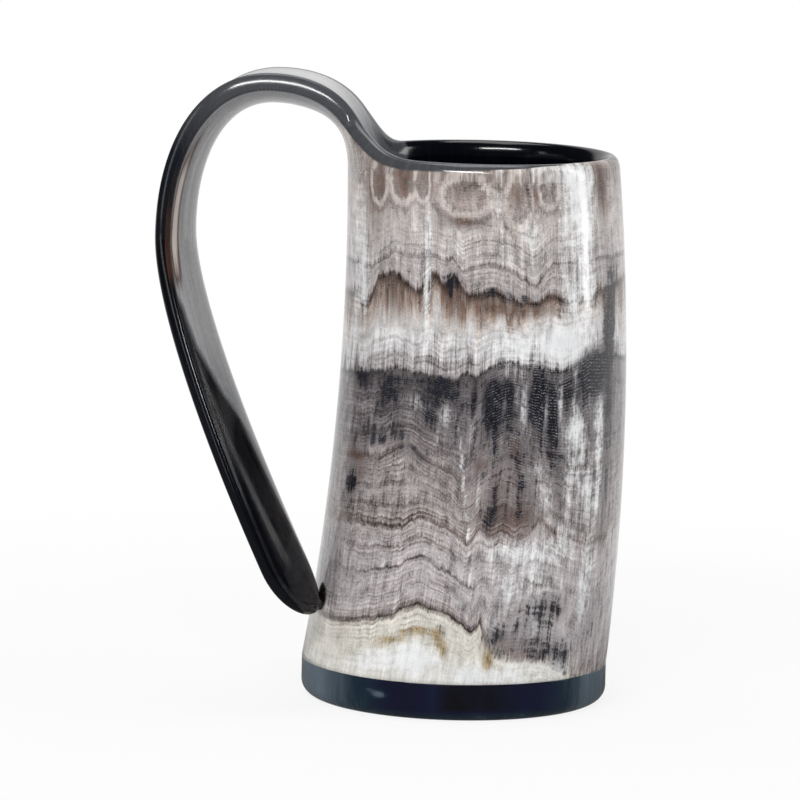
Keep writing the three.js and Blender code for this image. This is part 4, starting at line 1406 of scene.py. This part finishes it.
class TANKARD_OT_glue(bpy.types.Operator):
    """Build the resin bead in the cup and the drop of glue under the handle's tip"""

    bl_idname = "tankard.glue"
    bl_label = "Glue"

    def execute(self, context):
        settings = context.scene.tankard
        resin = set_resin(settings.colours)
        bead = make_mesh("resin_bead", *seal_surface(settings.cup), resin)
        settle(bead, "base_seal")
        drop = make_mesh("glue_drop", *bond_surface(settings.cup, settings.strip), resin)
        settle(drop, "tip_bond")
        return {"FINISHED"}


# The floor: its reach from the middle in metres, and the places and brightness of its two shades
FLOOR_REACH = 6.0
FLOOR_SHADES = ((0.2, 0.98), (0.8, 1.0))
# How white it looks away from the tankard, and how bright in reflections behind it: start and end in
# metres, and the share at each
FLOOR_WHITE = (0.1, 0.4, 0.86, 1.0)
FLOOR_MIRROR = (0.02, 0.2, 0.14, 0.92)
# The same for the surroundings in reflections, by the share of the direction that points backwards
BACKDROP = (0.58, 0.70, 0.032, 0.8)
SENSOR = 36  # width of the camera's sensor in millimetres


def white_floor(colour):
    """A pale floor with a soft shadow, seen as white far from the tankard, mirrored only behind it."""
    bench = new_material("white_floor")
    path = bench.node("ShaderNodeLightPath").outputs
    place = bench.place()
    shades = [(at, tuple(gain * share for share in colour)) for at, gain in FLOOR_SHADES]
    grey = bench.ramp(bench.maths("ADD", bench.noise(place, *FLOOR_MOTTLE), 0.5), shades)
    matt = bench.node("ShaderNodeBsdfDiffuse", {"Color": grey}).outputs[0]
    glow = bench.node("ShaderNodeEmission", {"Strength": 1.0}).outputs[0]
    depth = bench.node("ShaderNodeSeparateXYZ", {0: place}).outputs["Y"]
    shine = bench.node("ShaderNodeEmission", {"Strength": bench.step(depth, *FLOOR_MIRROR)}).outputs[0]
    away = bench.node("ShaderNodeVectorMath", {0: place}, operation="LENGTH").outputs["Value"]
    white = bench.step(away, *FLOOR_WHITE)
    seen = bench.node("ShaderNodeMixShader", {0: white, 1: matt, 2: glow}).outputs[0]
    rest = bench.node("ShaderNodeMixShader", {0: path["Is Glossy Ray"], 1: matt, 2: shine}).outputs[0]
    return bench.finish(bench.node("ShaderNodeMixShader", {0: path["Is Camera Ray"], 1: rest, 2: seen}))


def studio_world(ambient):
    """White for the camera and, in reflections, behind the tankard; dark in front; even for the rest."""
    bench = Bench(bpy.data.worlds.new("studio"))
    path = bench.node("ShaderNodeLightPath").outputs
    direction = bench.node("ShaderNodeTexCoord").outputs["Generated"]
    depth = bench.node("ShaderNodeSeparateXYZ", {0: direction}).outputs["Y"]
    mirrored = bench.step(depth, *BACKDROP)
    light = bench.node("ShaderNodeMix", {0: path["Is Glossy Ray"], 2: ambient, 3: mirrored}).outputs[0]
    strength = bench.node("ShaderNodeMix", {0: path["Is Camera Ray"], 2: light, 3: 1.0}).outputs[0]
    sky = bench.node("ShaderNodeBackground", {"Color": (1, 1, 1, 1), "Strength": strength})
    return bench.finish(sky, "ShaderNodeOutputWorld")


# Soft lamps: name, place and aim in metres, width, height and power in watts
LAMPS = (
    ("key_softbox", (-0.35, -1.6, 1.3), (0, 0, 0.08), 1.2, 0.16, 20),
    ("left_strip", (-1.35, -0.9, 0.35), (0, 0, 0.09), 0.1, 1.1, 1),
    ("right_softbox", (1.5, 0.1, 0.5), (0, 0, 0.09), 0.3, 1.1, 5),
    ("top_softbox", (-0.1, 0.2, 1.6), (0, 0, 0.1), 1.0, 1.0, 9),
)


class TANKARD_OT_studio(bpy.types.Operator):
    """Build the floor, the soft lamps, the white surroundings and the camera"""

    bl_idname = "tankard.studio"
    bl_label = "Studio"

    def execute(self, context):
        scene = context.scene
        studio = scene.tankard.studio
        x, y = np.meshgrid([-FLOOR_REACH, FLOOR_REACH], [-FLOOR_REACH, FLOOR_REACH])
        corners = np.stack([x.ravel(), y.ravel(), np.zeros(4)], -1)
        floor = make_mesh("floor", corners, np.array([[0, 1, 3, 2]]), white_floor(studio.floor_grey))
        for name, place, aim, width, height, power in LAMPS:
            lamp = bpy.data.lights.new(name, "AREA")
            lamp.shape, lamp.size, lamp.size_y, lamp.energy = "RECTANGLE", width, height, power
            holder = bpy.data.objects.new(name, lamp)
            holder.location = place
            holder.rotation_euler = (Vector(aim) - Vector(place)).to_track_quat("-Z", "Y").to_euler()
            scene.collection.objects.link(holder)
        scene.world = studio_world(studio.ambient)
        camera = bpy.data.cameras.new("camera")
        camera.lens = studio.lens
        camera.sensor_width = SENSOR
        holder = bpy.data.objects.new("camera", camera)
        target = Vector(studio.target)
        away = Vector((math.sin(studio.azimuth), -math.cos(studio.azimuth), 0)) * studio.distance
        holder.location = target + away
        holder.location.z = studio.height
        look = (target - holder.location).to_track_quat("-Z", "Y")
        holder.rotation_mode = "QUATERNION"
        holder.rotation_quaternion = look @ Quaternion((0, 0, 1), studio.roll)
        scene.collection.objects.link(holder)
        scene.camera = holder
        scene.view_settings.view_transform = "Standard"
        return {"FINISHED"}


class TANKARD_PT_panel(bpy.types.Panel):
    """Settings and steps of the tankard"""

    bl_idname = "TANKARD_PT_panel"
    bl_label = "Tankard"
    bl_space_type = "VIEW_3D"
    bl_region_type = "UI"
    bl_category = "Tankard"

    def draw(self, context):
        settings = context.scene.tankard
        for group in (settings.cup, settings.strip, settings.colours, settings.studio):
            box = self.layout.box()
            for key in group.bl_rna.properties.keys():
                if key not in {"rna_type", "name"}:
                    box.prop(group, key)
        for operator in OPERATORS:
            self.layout.operator(operator.bl_idname)


OPERATORS = (TANKARD_OT_horn_shell, TANKARD_OT_base_plate, TANKARD_OT_glue, TANKARD_OT_studio)
SETTINGS = (CupSettings, StripSettings, HornColours, StudioSettings, TankardSettings)
CLASSES = (*SETTINGS, *OPERATORS, TANKARD_PT_panel)


def register():
    """Registers the classes and puts the settings on the scene."""
    for kind in CLASSES:
        bpy.utils.register_class(kind)
    bpy.types.Scene.tankard = bpy.props.PointerProperty(
        type=TankardSettings, name="Tankard", description="Settings of the tankard"
    )


def unregister():
    """Takes the settings off the scene and the classes off the register."""
    del bpy.types.Scene.tankard
    for kind in reversed(CLASSES):
        bpy.utils.unregister_class(kind)


def main():
    """Builds the tankard and its studio."""
    register()
    bpy.ops.tankard.horn_shell()
    bpy.ops.tankard.base_plate()
    bpy.ops.tankard.glue()
    bpy.ops.tankard.studio()


if __name__ == "__main__":
    main()
